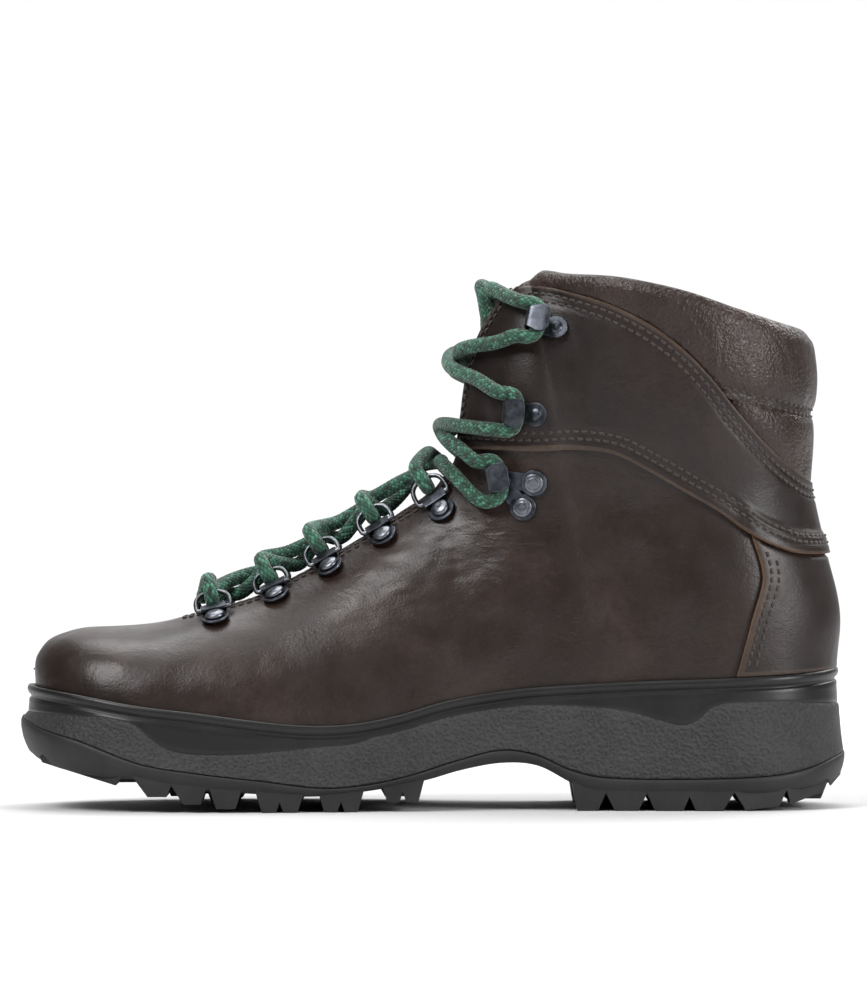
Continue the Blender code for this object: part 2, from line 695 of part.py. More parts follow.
def draped(start, end, lifts):
    """Points between two others, laid over the front of the upper at the given lifts."""
    points = []
    for k, lift in enumerate(lifts, 1):
        place = start.lerp(end, k / (len(lifts) + 1))
        points.append(above_front(rib_square_to(place), place.y - spine(place.x), lift))
    return points


def tongue_depth(v, y):
    """Depth of the tongue's face below the upper's outer face."""
    middle = height(TONGUE_DEPTH, v)
    edge = max(opening(v), 11.5)
    return middle + (TONGUE_EDGE_DEPTH - middle) * ramp(edge - 8.0, edge - 0.5, abs(y))


def strip(name, steps, across, more_depth, thickness, slot, group):
    """A padded strip behind the throat, which follows the front of the upper."""
    bm = bmesh.new()
    layers = []
    for deeper in (more_depth, more_depth + thickness):
        layers.append([[bm.verts.new(above_front(v, y, -tongue_depth(v, y) - deeper))
                        for y in across(v)] for v in steps])
    upper, lower = layers
    grid_faces(bm, upper)
    grid_faces(bm, lower)
    for end in (0, -1):
        grid_faces(bm, [upper[end], lower[end]])
        grid_faces(bm, [[row[end] for row in upper], [row[end] for row in lower]])
    return put(name, finished(bm, name), slot, group)


def tongue_half_width(v):
    return 14 + 5 * ramp(5.5, 9, v)


def make_tongue(group, tongue_leather, lining_cloth):
    def tongue_across(v):
        return [tongue_half_width(v) * k / 4 for k in range(-4, 5)]

    strip("tongue", spread(5.0, 16.9, 21), tongue_across, 0, TONGUE_THICKNESS, tongue_leather,
          group)
    for name, sign in (("gusset_left", -1), ("gusset_right", 1)):
        def gusset_across(v, sign=sign):
            return [sign * (tongue_half_width(v) + more) for more in (0.7, 2.4, 4.0)]
        strip(name, spread(6.9, 14.6, 9), gusset_across, 0.6, 1.0, lining_cloth, group)


# Lace hardware ----------------------------------------------------------------------------------
def clip_mesh(cutters, slot):
    """D-ring clip: a round plate, a neck and a barrel that holds the ring's straight side."""
    bm = bmesh.new()
    cylinder(bm, 5.2, 0.4, 1.3, 12, (0, -5.6))
    disc = put("clip_plate", finished(bm, "clip_plate"), slot, cutters)
    bm = bmesh.new()
    half = BARREL_LENGTH / 2
    cylinder(bm, BARREL_RADIUS, -half, half, 8)
    bmesh.ops.rotate(bm, verts=bm.verts, cent=(0, 0, 0), matrix=Matrix.Rotation(math.pi / 2, 3, "Y"))
    bmesh.ops.translate(bm, verts=bm.verts, vec=(0, 0, BARREL_HEIGHT))
    barrel = put("clip_barrel", finished(bm, "clip_barrel"), slot, cutters)
    bm = bmesh.new()
    extruded(bm, [(-4.4, 0.45), (0.0, 0.45), (0.6, 0.9), (-0.4, 1.6), (-4.4, 1.25)], -4.4, 4.4)
    neck = put("clip_neck", finished(bm, "clip_neck"), slot, cutters)
    bm = bmesh.new()
    cylinder(bm, BARREL_BORE, -half - 1, half + 1, 8)
    bmesh.ops.rotate(bm, verts=bm.verts, cent=(0, 0, 0), matrix=Matrix.Rotation(math.pi / 2, 3, "Y"))
    bmesh.ops.translate(bm, verts=bm.verts, vec=(0, 0, BARREL_HEIGHT))
    bore = put("clip_bore", finished(bm, "clip_bore"), slot, cutters)
    boolean(disc, neck, "UNION")
    boolean(disc, barrel, "UNION")
    boolean(disc, bore, "DIFFERENCE")
    mesh = disc.data
    bpy.data.objects.remove(disc)
    return mesh


def ring_points():
    """Loop of a D-ring in its own plane: straight side on X, outer wire at RING_REACH."""
    half = [(5.5, 0), (6.15, 0.45), (6.4, 1.3), (6.3, 4.0), (5.4, 6.4), (3.2, 8.0)]
    points = [(0, RING_REACH)] + [(x, y) for x, y in reversed(half)]
    points += [(-x, y) for x, y in half]
    return [Vector((x, y, 0)) for x, y in points]


def dome_profile(radius, low, rise, lip):
    return [(0, low + rise), (radius * 0.45, low + rise * 0.9), (radius * 0.8, low + rise * 0.58),
            (radius, low + lip), (radius, low), (0, low)]


def make_d_rings(group, cutters, metal, rivet_metal):
    clip = clip_mesh(cutters, metal)
    rivet = turned("d_rivet", dome_profile(3.65, 1.6, 2.0, 0.5), 10)
    frames = {}
    for side, word in ((-1, "inner"), (1, "outer")):
        for number, (x, z, tilt) in enumerate(D_RINGS, 1):
            frame = fitting_frame(x, z, tilt, side)
            frames[(number, side)] = frame
            tag = f"{word}_{number}"
            put(f"d_clip_{tag}", clip, metal, group).matrix_world = metres(frame)
            head = put(f"d_rivet_{tag}", rivet, rivet_metal, group)
            head.matrix_world = metres(frame @ Matrix.Translation((0, -RIVET_DROP, 0)))
            ring = tube(f"d_ring_{tag}", ring_points(), WIRE_RADIUS, 1, True, metal, group)
            pose = Matrix.Translation((0, 0, BARREL_HEIGHT)) @ Matrix.Rotation(RING_TILT, 4, "X")
            ring.matrix_world = metres(frame @ pose)
    return frames


def hook_mesh(name, neck, lip_width, back, cutters, slot, plate=None):
    """Lace hook: base plate, neck on the tongue's side and a lip folded back over the lace."""
    bm = bmesh.new()
    extruded(bm, [(-back, 0.4), (2.9, 0.4), (3.5, 1.2), (3.5, 7.4), (2.6, 8.5), (-0.4, 8.7),
                  (-0.4, 7.5), (1.6, 7.3), (2.1, 6.8), (2.1, 2.0), (1.5, 1.5), (-back, 1.3)],
             -neck / 2, neck / 2)
    body = put(name, finished(bm, name), slot, cutters)
    bm = bmesh.new()
    extruded(bm, [(-5.6, 6.9), (-4.8, 7.3), (2.4, 7.35), (2.4, 8.55), (-4.8, 8.6), (-6.0, 8.1)],
             -lip_width / 2, lip_width / 2)
    lip = put(name + "_lip", finished(bm, name + "_lip"), slot, cutters)
    boolean(body, lip, "UNION")
    for piece in plate or []:
        boolean(body, piece, "UNION")
    mesh = body.data
    bpy.data.objects.remove(body)
    return mesh


def make_hooks(group, cutters, metal, rivet_metal):
    frames = {}
    bm = bmesh.new()
    cylinder(bm, 4.4, 0.4, 1.3, 12, (-7.4, 0))
    bmesh.ops.rotate(bm, verts=bm.verts, cent=(0, 0, 0), matrix=Matrix.Rotation(math.pi / 2, 3, "Z"))
    foot = put("hook_foot", finished(bm, "hook_foot"), metal, cutters)
    speed = hook_mesh("speed_hook", HOOK_NECK, 10.6, 7.0, cutters, metal, [foot])
    for side, word in ((-1, "inner"), (1, "outer")):
        for number, (x, z, tilt, lean) in enumerate(SPEED_HOOKS, 2):
            frame = fitting_frame(x, z, tilt, side)
            frame = frame @ Matrix.Translation((0, 0, OVERLAY_LIFT + OVERLAY + 0.6))
            frame = frame @ Matrix.Rotation(math.radians(lean), 4, "X")
            frames[(number, side)] = frame
            put(f"speed_hook_{word}_{number - 1}", speed, metal, group).matrix_world = metres(frame)
        frame = fitting_frame(*ANKLE_HOOK, side) @ Matrix.Translation((0, 0, 0.4))
        frames[(1, side)] = frame
        lobes = []
        for x, z in ANKLE_RIVETS:
            place = fitting_frame(x, z, 90, side)
            spot = frame.inverted() @ place.translation
            lobes.append((spot.x, spot.y, place))
        plates = []
        for k, (lx, ly, place) in enumerate(lobes):
            bm = bmesh.new()
            cylinder(bm, 4.9, 0.7, 1.6, 14)
            bmesh.ops.transform(bm, matrix=frame.inverted() @ place, verts=bm.verts)
            plates.append(put(f"lobe_{k}", finished(bm, f"lobe_{k}"), metal, cutters))
            side_step = Vector((-ly, lx)).normalized() * 3.0
            low = (frame.inverted() @ place).translation.z
            bm = bmesh.new()
            ring = [(side_step.x, side_step.y, 0), (-side_step.x, -side_step.y, 0),
                    (lx - side_step.x, ly - side_step.y, low),
                    (lx + side_step.x, ly + side_step.y, low)]
            prism(bm, [Vector((p[0], p[1], p[2] + 0.8)) for p in ring]
                  + [Vector((p[0], p[1], p[2] + 1.5)) for p in ring])
            plates.append(put(f"arm_{k}", finished(bm, f"arm_{k}"), metal, cutters))
        word_name = f"ankle_hook_{word}"
        mesh = hook_mesh(word_name, 8.0, 11.0, 3.0, cutters, metal, plates)
        put(word_name, mesh, metal, group).matrix_world = metres(frame)
        rivet = turned(f"ankle_rivet_{word}", dome_profile(3.55, 2.0, 1.1, 0.5), 10)
        for k, (_, _, place) in enumerate(lobes, 1):
            head = put(f"ankle_rivet_{word}_{k}", rivet, rivet_metal, group)
            head.matrix_world = metres(place)
    return frames


# The lace ---------------------------------------------------------------------------------------
def ring_turn(frame, downwards):
    """Lace points through one D-ring: a half turn round its outer wire, by way of the window."""
    pose = frame @ Matrix.Translation((0, 0, BARREL_HEIGHT)) @ Matrix.Rotation(RING_TILT, 4, "X")
    radius = LACE_RADIUS + WIRE_RADIUS + 0.3
    points = [Vector((0, RING_REACH + 3.6, -radius))]
    for degrees in range(-90, 91, 30):
        angle = math.radians(degrees)
        points.append(Vector((0, RING_REACH - radius * math.cos(angle), radius * math.sin(angle))))
    points.append(Vector((0, RING_REACH + 3.6, radius)))
    points = [pose @ p for p in points]
    return points[::-1] if downwards else points


def hook_turn(frame, neck):
    """Lace points round a hook's neck, under its lip, from its lower side to its upper one."""
    radius = neck / 2 + LACE_RADIUS + 0.7
    level = 1.5 + LACE_RADIUS + 0.1
    back = 2.1 - LACE_RADIUS - 0.5
    half = [(radius, 6.5), (radius, 2.4), (radius * 0.9, 0.0), (radius * 0.5, back - 0.5)]
    points = half + [(0, back - 0.6)] + [(-x, y) for x, y in reversed(half)]
    points = [frame @ Vector((x, y, level)) for x, y in points]
    rising = points[-1].z > points[0].z
    return points if rising else points[::-1]


def half_route(rings, hooks, side, lift):
    """Lace route of one end, from the lowest bar to where the end is tucked away.

    The end crosses to the other side between each pair of fittings; lift is its height over
    the front of the upper where it meets the other end.
    """
    route = ring_turn(rings[(1, side)], True)
    here = side
    for number, crossing_rib in ((2, 6.62), (3, 7.95), (4, 8.95), (5, 9.95)):
        route.append(above_front(crossing_rib, 0, lift))
        here = -here
        route += ring_turn(rings[(number, here)], False)
    middle = above_front(11.65, 0, lift)
    route.append(middle)
    for number, neck, crossing_rib, low, high in ((1, 8.0, 12.72, 4.4, 6.8),
                                                  (2, HOOK_NECK, 14.3, 6.7, 6.7),
                                                  (3, HOOK_NECK, 15.9, 6.7, 6.7)):
        here = -here
        turn = hook_turn(hooks[(number, here)], neck)
        route += draped(middle, turn[0], (max(lift, low), low))
        route += turn
        middle = above_front(crossing_rib, 0, lift)
        route += draped(turn[-1], middle, (high, max(lift, high)))
        route.append(middle)
    here = -here
    route += [above_front(15.62, here * 4.6, 0.9), above_front(15.3, here * 7.0, -1.7),
              above_front(14.95, here * 10.5, -5.2), above_front(14.55, here * 14.0, -6.2)]
    return route


def curve_through(knots, longest, most_turn):
    """Points of the smooth curve through the knots (centripetal Catmull-Rom), one for each
    stretch that is `longest` long or turns by `most_turn`, whichever comes first."""
    knots = [2 * knots[0] - knots[1]] + knots + [2 * knots[-1] - knots[-2]]
    dense = []
    for a, b, c, d in zip(knots, knots[1:], knots[2:], knots[3:]):
        t0 = 0.0
        t1 = t0 + max((b - a).length, 1e-6) ** 0.5
        t2 = t1 + max((c - b).length, 1e-6) ** 0.5
        t3 = t2 + max((d - c).length, 1e-6) ** 0.5
        for k in range(12):
            t = t1 + (t2 - t1) * k / 12
            ab = a.lerp(b, (t - t0) / (t1 - t0))
            bc = b.lerp(c, (t - t1) / (t2 - t1))
            cd = c.lerp(d, (t - t2) / (t3 - t2))
            abc = ab.lerp(bc, (t - t0) / (t2 - t0))
            bcd = bc.lerp(cd, (t - t1) / (t3 - t1))
            dense.append(abc.lerp(bcd, (t - t1) / (t2 - t1)))
    dense.append(knots[-2])
    points = [dense[0]]
    walked = 0.0
    turned_by = 0.0
    for previous, point, following in zip(dense, dense[1:], dense[2:]):
        walked += (point - previous).length
        turned_by += (point - previous).angle(following - point, 0.0)
        if walked >= longest or turned_by >= most_turn:
            points.append(point)
            walked = 0.0
            turned_by = 0.0
    if (points[-1] - dense[-1]).length < 1.5:
        points.pop()
    points.append(dense[-1])
    return points


def lace_route(rings, hooks):
    """The whole lace, from one tucked end to the other."""
    bar = [above_front(6.0, y, 5.2) for y in (5.0, 0, -5.0)]
    inner = half_route(rings, hooks, -1, 7.4)
    outer = half_route(rings, hooks, 1, 1.7)
    return outer[::-1] + bar + inner


def make_lace(group, rings, hooks, cord, tip):
    points = curve_through(lace_route(rings, hooks), 14.0, math.radians(38))
    tube("lace", points, LACE_RADIUS, 2, False, cord, group)
    for word, last, before in (("outer", points[0], points[1]), ("inner", points[-1], points[-2])):
        way = (last - before).normalized()
        start = last + way * 0.6
        tube(f"aglet_{word}", [start, start + way * 4], LACE_RADIUS * 0.8, 2, False, tip, group)


def main():
    clear_scene()
    group = collection("mountaineering_boot")
    cutters = collection("cutters")
    brown = material("leather", (0.055, 0.032, 0.024), 0.42)
    panel = material("panel_leather", (0.06, 0.035, 0.027), 0.45)
    padding = material("collar_leather", (0.065, 0.038, 0.03), 0.5)
    cloth = material("lining", (0.03, 0.022, 0.018), 0.9)
    stiff = material("stiffener", (0.5, 0.45, 0.36), 0.8)
    rubber = material("rubber", (0.022, 0.022, 0.023), 0.7)
    foam = material("midsole", (0.03, 0.03, 0.032), 0.6)
    board = material("board", (0.4, 0.3, 0.2), 0.85)
    felt = material("footbed", (0.05, 0.05, 0.055), 0.95)
    steel = material("shank_steel", (0.5, 0.5, 0.5), 0.35, 1.0)
    metal = material("gunmetal", (0.11, 0.115, 0.13), 0.35, 1.0)
    pewter = material("pewter", (0.16, 0.165, 0.18), 0.3, 1.0)
    cord = material("lace", (0.012, 0.11, 0.06), 0.85)
    make_sole(group, cutters, rubber, foam, board, steel, felt)
    make_upper(group, brown, panel, padding, cloth, stiff, brown)
    rings = make_d_rings(group, cutters, metal, pewter)
    hooks = make_hooks(group, cutters, metal, pewter)
    make_lace(group, rings, hooks, cord, metal)
    bpy.context.view_layer.update()


main()
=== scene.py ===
"""Visual model of the mountaineering boot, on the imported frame.

Toe towards -X, heel towards +X, inner side of the foot towards -Y, +Z up. Lengths in this file
are in millimetres, as the CAD source has them, and MM turns them into metres.
"""
import json
import math

import bmesh
import bpy
from mathutils import Matrix, Vector, noise

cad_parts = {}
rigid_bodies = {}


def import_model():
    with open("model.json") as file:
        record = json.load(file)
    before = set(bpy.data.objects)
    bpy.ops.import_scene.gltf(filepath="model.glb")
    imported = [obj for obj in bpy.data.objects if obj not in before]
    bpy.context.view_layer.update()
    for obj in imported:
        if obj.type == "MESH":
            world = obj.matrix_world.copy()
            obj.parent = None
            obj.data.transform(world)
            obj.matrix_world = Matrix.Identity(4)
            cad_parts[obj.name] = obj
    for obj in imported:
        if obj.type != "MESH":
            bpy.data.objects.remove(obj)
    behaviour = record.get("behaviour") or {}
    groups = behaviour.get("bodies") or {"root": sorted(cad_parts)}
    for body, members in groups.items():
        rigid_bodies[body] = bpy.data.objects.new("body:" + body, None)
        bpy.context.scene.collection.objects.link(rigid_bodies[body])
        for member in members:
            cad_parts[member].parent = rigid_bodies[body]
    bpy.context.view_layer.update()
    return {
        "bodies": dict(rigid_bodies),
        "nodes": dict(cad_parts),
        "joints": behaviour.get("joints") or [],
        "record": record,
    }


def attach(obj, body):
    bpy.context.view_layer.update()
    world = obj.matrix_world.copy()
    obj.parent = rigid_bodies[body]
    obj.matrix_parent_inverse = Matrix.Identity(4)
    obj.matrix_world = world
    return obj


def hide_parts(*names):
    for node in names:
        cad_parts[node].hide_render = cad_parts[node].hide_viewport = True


MM = 0.001
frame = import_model()

# Driving dimensions -----------------------------------------------------------------------------
TOE_X = -150.5              # foremost point of the sole's lip
HEEL_X = 150.5              # rearmost point of the sole's lip
UPPER_INSET = 3.0           # the leather stands this far inside the lip's outline
FEATHER_DEPTH = 6.5         # the leather's lower edge lies this far below the lip's top
LEATHER = 2.4               # thickness of the upper's leather
OVERLAY_LIFT = 1.1          # gap between the leather and an overlay's back, outer face to face
OVERLAY = 1.4               # thickness of an overlay panel
LINING_TOP = -5.3           # outer face of the lining
LINING = 1.8
OVERLAY_FACE = OVERLAY_LIFT + OVERLAY   # outer face of an overlay, above the leather's face
OVERLAY_SHELL = 2.2         # the overlay's drawn thickness, which also fills the gap behind it
COLLAR_WIDTH = 42.0         # half width of the collar's oval
COLLAR_FRONT = 36.0
COLLAR_BACK = 139.6
LACE_RADIUS = 2.7
WIRE_RADIUS = 0.85
RING_REACH = 8.4            # from the barrel's axis to the middle of the ring's outer wire
RING_TILT = math.radians(26)
BARREL_HEIGHT = 2.3         # axis above the leather
RIVET_DROP = 5.8            # from the barrel's axis down to the rivet's centre
HOOK_NECK = 7.0             # width of a hook's neck
LAST_RIB = 24.0             # the rib along the back of the heel
TURN_COST = 30.0            # length of face that costs as much as a turn of one radian

# Heights along the sole, as (x, z) --------------------------------------------------------------
LIP = [(-152, 46), (-128.6, 42.4), (-106.7, 38.6), (-84.9, 36), (-63, 33.1), (-46.6, 31.6),
       (-30.2, 32), (-13.8, 35), (4.4, 40.2), (21, 43.2), (37.6, 45.2), (76.4, 47.4),
       (112, 48.7), (137.5, 50.2), (153, 52.4)]
PARTING = [(-154, 34.6), (-145, 30.4), (-128.6, 25.6), (-106.7, 17.6), (-84.9, 14), (-63, 11.5),
           (-41.1, 8.8), (-24.7, 9.8), (-8.3, 13.2), (9.9, 18.8), (25, 22.2), (37.6, 20.4),
           (49.9, 15), (62, 12.2), (87.6, 11.5), (120.9, 12.5), (137.5, 15.2), (154, 21.6)]
TREAD = [(-150, 20.5), (-138, 16), (-118, 12.6), (-106.6, 12), (-93.9, 9), (-82, 7.8),
         (-64.5, 6.9), (-45, 5.8), (-25.7, 7.4), (-3, 11.4), (9.9, 15), (25, 17.6), (38, 16.6),
         (50, 10.5), (58, 6.5), (94, 6), (125, 6.6), (143, 9), (154, 11.8)]
HALF_WIDTHS = [(-150, 49), (-95, 51), (-62, 54), (-20, 47.5), (22, 40), (62, 39), (110, 40.5),
               (150, 40.5)]

# Ribs of the upper: number, foot x, top x, top z. The tops run up the instep's ridge, the front
# of the tongue and then round the collar.
RIBS = [(0, -147.5, -148.1, 51), (1, -145.9, -147, 56.8), (2, -141, -142, 62.6),
        (3, -131, -132, 66.1), (4, -116, -117, 67), (5, -98, -100, 68.8), (6, -80, -84, 73.8),
        (7, -62, -66, 79.4), (8, -45, -49, 88.6), (9, -28, -33, 98.8), (10, -12, -17, 109.4),
        (11, 3, -2, 120.4), (12, 16, 7, 131), (13, 28, 10.4, 144.5), (14, 38, 12.2, 160),
        (15, 47, 15.6, 175.5), (16, 56, 24.5, 189.5), (17, 64, 36, 198.6), (18, 76, 50, 197.4),
        (19, 88, 70, 195), (20, 102, 92, 190.4), (21, 116, 112, 184), (22, 130, 127, 179.6),
        (23, 141, 136.5, 177.2), (24, 147.5, 139.6, 175)]

# Edges of the upper's panels in side view, as (x, z) --------------------------------------------
PANEL_TOP = [(20, 185), (31.6, 190.4), (40.6, 191.4), (50.5, 189.9), (62.5, 186.4),
             (72.5, 181.9), (82.5, 175.9), (92.4, 168), (102.5, 157), (108.5, 149),
             (122.4, 133), (136.4, 121.1), (146, 118)]
PANEL_FOOT = [(10, 132.6), (37.9, 131.9), (54.5, 132.3), (67, 130.7), (79.5, 124.4),
              (91.9, 117), (104.4, 109.5), (116.9, 100.3), (125.2, 96.2), (133.5, 93.7),
              (150, 93.4)]
PUFF_SEAM = [(90, 157), (106.4, 153.5), (117.4, 151), (137.4, 146.5), (146, 145.5)]
HEEL_PANEL_FRONT = [(44, 109.5), (54.6, 112.5), (70.8, 116.8), (83.7, 120.4), (90.1, 119.8),
                    (100, 116.6)]

# Two rows of stitches beside each edge, by distance from it -------------------------------------
PANEL_TOP_ROWS = (-2.6, -5.2)
PANEL_FOOT_ROWS = (4.0, 6.6)
PUFF_SEAM_ROWS = (-1.3, 1.3)
HEEL_PANEL_ROWS = (2.8, 5.4)
THROAT_ROWS = (2.8, 5.2)

# Lace hardware in side view: x, z of the barrel or hook, and its tilt in degrees. The speed hooks
# also lean by an angle, where the leather under them is hollow ------------------------------------
D_RINGS = [(-80.6, 71.7, 15), (-58.6, 80, 22.6), (-39.2, 90.8, 31), (-19.6, 102.7, 31),
           (1.1, 113.4, 31)]
ANKLE_HOOK = (24.5, 121.5, 100)
ANKLE_RIVETS = [(37, 120), (33, 111)]
SPEED_HOOKS = [(32, 145.8, 84, 0), (37.8, 176.7, 80, -6)]

# How far the tongue's face lies below the upper's outer face at its middle, by rib number -------
TONGUE_DEPTH = [(5, 6.5), (6.5, 4.8), (10, 4.8), (12.2, 1.4), (13.2, 1.0), (14.5, 4.6), (17, 4.0)]
TONGUE_EDGE_DEPTH = 9.4     # the same below the facings, where the lace's ends are tucked in too
TONGUE_THICKNESS = 3.2


# Small mathematics ------------------------------------------------------------------------------
def smooth(rows, t):
    """Values of the cubic that runs through the rows (t, value, ...), held beyond both ends."""
    if t <= rows[0][0]:
        return rows[0][1:]
    if t >= rows[-1][0]:
        return rows[-1][1:]
    i = max(k for k in range(len(rows) - 1) if rows[k][0] <= t)
    here, there = rows[i], rows[i + 1]
    before = rows[max(i - 1, 0)]
    after = rows[min(i + 2, len(rows) - 1)]
    span = there[0] - here[0]
    u = (t - here[0]) / span
    values = []
    for k in range(1, len(here)):
        slope_in = (there[k] - before[k]) / (there[0] - before[0]) * span
        slope_out = (after[k] - here[k]) / (after[0] - here[0]) * span
        rise = there[k] - here[k]
        values.append(here[k] + u * slope_in + u * u * (3 * rise - 2 * slope_in - slope_out)
                      + u ** 3 * (slope_in + slope_out - 2 * rise))
    return tuple(values)


def ramp(low, high, value):
    """Smooth step from 0 at low to 1 at high."""
    u = min(max((value - low) / (high - low), 0), 1)
    return u * u * (3 - 2 * u)


def bisect(function, low, high):
    """The place between low and high where a function that starts negative crosses zero."""
    for _ in range(32):
        middle = (low + high) / 2
        if function(middle) < 0:
            low = middle
        else:
            high = middle
    return (low + high) / 2


def height(rows, x):
    return smooth(rows, x)[0]


# The last: plan outline and upper surface -------------------------------------------------------
def spine(x):
    """Sideways place of the boot's middle: the toe turns towards the inner side."""
    return -8 * ramp(-40, -150, x) + 1.2 * ramp(20, -60, x)


def half_width(x, inset, toe_in=0.0):
    """Half the plan outline's width at x, for the lip's outline moved inwards by inset.

    The toe is moved back by toe_in more, as where the tread curls up to it.
    """
    width = height(HALF_WIDTHS, x) - inset
    toe_round = -92.0
    heel_round = 104.0
    if x < toe_round:
        reach = min((toe_round - x) / (toe_round - TOE_X - inset - toe_in), 1)
        return width * (1 - reach ** 2.3) ** (1 / 2.3)
    if x > heel_round:
        reach = min((x - heel_round) / (HEEL_X - inset - heel_round), 1)
        return width * (1 - reach ** 2.4) ** (1 / 2.4)
    return width


def rib(v):
    """Foot x, foot z, top x, top z, foot half width, top half width and wall share of a rib."""
    foot_x, top_x, top_z = smooth(RIBS, v)
    foot_z = height(LIP, foot_x) - FEATHER_DEPTH
    width = half_width(foot_x, UPPER_INSET)
    top_width = 0.0
    if v > 17:
        middle = (COLLAR_FRONT + COLLAR_BACK) / 2
        reach = min(abs(top_x - middle) / (COLLAR_BACK - middle), 1)
        top_width = COLLAR_WIDTH * (1 - reach ** 2.3) ** (0.5 + 0.3 * ramp(19.5, 17, v))
    wall = min(top_width / max(width, 1), 1) if v < 21 else 1.0
    return foot_x, foot_z, top_x, top_z, width, top_width, wall


def skin(v, s, side):
    """Point of the upper's outer face: v counts ribs from toe to heel, s runs from top to foot."""
    if v < 0 or v > LAST_RIB:
        v = -v if v < 0 else 2 * LAST_RIB - v
        side = -side
    foot_x, foot_z, top_x, top_z, width, top_width, wall = rib(v)
    if s < 0 and v <= 17:
        s = -s
        side = -side
    share = (1 - wall) * math.cos(s * math.pi / 2) + wall * (1 - s)
    boxy = ramp(8, 3, v)
    power = 2 + 0.7 * boxy + 2.2 * ramp(11.5, 17, v) + 3.8 * ramp(15, 17, v)
    inside = max(1 - max(share, 0) ** power, 0)
    flare = inside ** (0.5 - 0.08 * boxy)
    straight = ramp(16.5, 20.5, v)
    y = top_width + (width - top_width) * ((1 - straight) * flare + straight * (1 - share))
    x = foot_x + (top_x - foot_x) * share
    z = foot_z + (top_z - foot_z) * share
    shaft = ramp(10, 15, v)
    y *= 1 - 0.11 * shaft * math.exp(-((z - 112) / 27) ** 2)
    bow = 3.2 * math.exp(-((z - 72) / 16) ** 2) - 4.2 * math.exp(-((z - 122) / 24) ** 2)
    x += bow * ramp(19, 24, v)
    return Vector((x, side * y + spine(x), z))


def facing(v, s, side, offset=0.0):
    """Point at a distance from the upper's outer face, and the face's outward normal."""
    step = 0.02
    along = skin(v + step, s, side) - skin(v - step, s, side)
    low = s - step if (v <= 17 or s > step) else 0.0
    down = skin(v, min(s + step, 1), side) - skin(v, low, side)
    normal = (along.cross(down) * side).normalized()
    return skin(v, s, side) + normal * offset, normal


def crossing(v, curve, from_s=0.0):
    """Where rib v comes down through a side-view edge that is a height over x."""
    def above(s):
        point = skin(v, s, 1)
        return height(curve, point.x) - point.z
    if above(from_s) > 0:
        return from_s
    return bisect(above, from_s, 1.0)


def opening(v):
    """Half width of the throat between the two facings at rib v."""
    if v < 5.3:
        return 0.0
    if v < 6.3:
        return 11.5 * math.sqrt(1 - (6.3 - v) ** 2)
    return 11.5 + 1.5 * ramp(10, 16, v)


def throat(v):
    """Where rib v meets the facing's edge, or the ridge ahead of the throat."""
    def beyond(s):
        return abs(skin(v, s, 1).y - spine(skin(v, s, 1).x)) - opening(v)
    if v <= 5.3 or v > 19 or beyond(0.0) >= 0:
        return 0.0
    return bisect(beyond, 0.0, 0.9)


def locate(x, z):
    """Rib number and s of a point of the side view."""
    def level(v):
        return bisect(lambda s: z - skin(v, s, 1).z, 0.0, 1.0)
    v = bisect(lambda w: skin(w, level(w), 1).x - x, 0.5, 23.5)
    return v, level(v)


def fitting_frame(x, z, tilt, side):
    """Matrix of a fitting on the leather: local Z is the leather's normal, local X lies along
    the fitting's tilt in side view and local Y points towards the ridge or the tongue."""
    v, s = locate(x, z)
    origin, normal = facing(v, s, side)
    angle = math.radians(tilt)
    along = Vector((math.cos(angle), 0, math.sin(angle)))
    along = (along - normal * along.dot(normal)).normalized() * -side
    across = normal.cross(along)
    turn = Matrix((along, across, normal)).transposed().to_4x4()
    return Matrix.Translation(origin) @ turn


def front_section(v):
    """Section of the upper's outer face square to its front line at rib v.

    Gives the middle point, the inward direction and pairs (y, depth) out to the sides.
    """
    middle = skin(v, 0, 1)
    tangent = skin(v + 0.05, 0, 1) - skin(v - 0.05, 0, 1)
    tangent = Vector((tangent.x, 0, tangent.z)).normalized()
    inward = Vector((tangent.z, 0, -tangent.x))
    pairs = [(0.0, 0.0)]
    for k in range(1, 15):
        w = v + 0.035 * k * k

        def ahead(s, w=w):
            return -(skin(w, s, 1) - middle).dot(tangent)
        if ahead(0.0) > 0:
            continue
        point = skin(w, bisect(ahead, 0.0, 1.0), 1)
        pairs.append((point.y - spine(point.x), (point - middle).dot(inward)))
    return middle, inward, pairs


SECTIONS = {}


def above_front(v, y, lift):
    """Point over (or, with a negative lift, under) the front of the upper, y from its middle."""
    key = round(v, 3)
    if key not in SECTIONS:
        SECTIONS[key] = front_section(v)
    middle, inward, pairs = SECTIONS[key]
    reach = abs(y)
    low, high = pairs[0], pairs[-1]
    for before, after in zip(pairs, pairs[1:]):
        if before[0] <= reach <= after[0]:
            low, high = before, after
            break
    share = (reach - low[0]) / max(high[0] - low[0], 0.001)
    depth = low[1] + (high[1] - low[1]) * share
    slope = reach / section_radius(pairs, reach)
    outward = Vector((0, math.copysign(slope, y), 0)) - inward * math.sqrt(1 - slope * slope)
    return middle + Vector((0, y, 0)) + inward * depth + outward * lift


def section_radius(pairs, reach):
    """Radius of the circle about the section's axis that its face follows at a reach."""
    wide = max(reach, 6.0)
    depth = max(pairs)[1]
    for before, after in zip(pairs, pairs[1:]):
        if before[0] <= wide <= after[0]:
            share = (wide - before[0]) / max(after[0] - before[0], 0.001)
            depth = before[1] + (after[1] - before[1]) * share
            break
    return max((wide * wide + depth * depth) / (2 * max(depth, 0.2)), reach * 1.1)


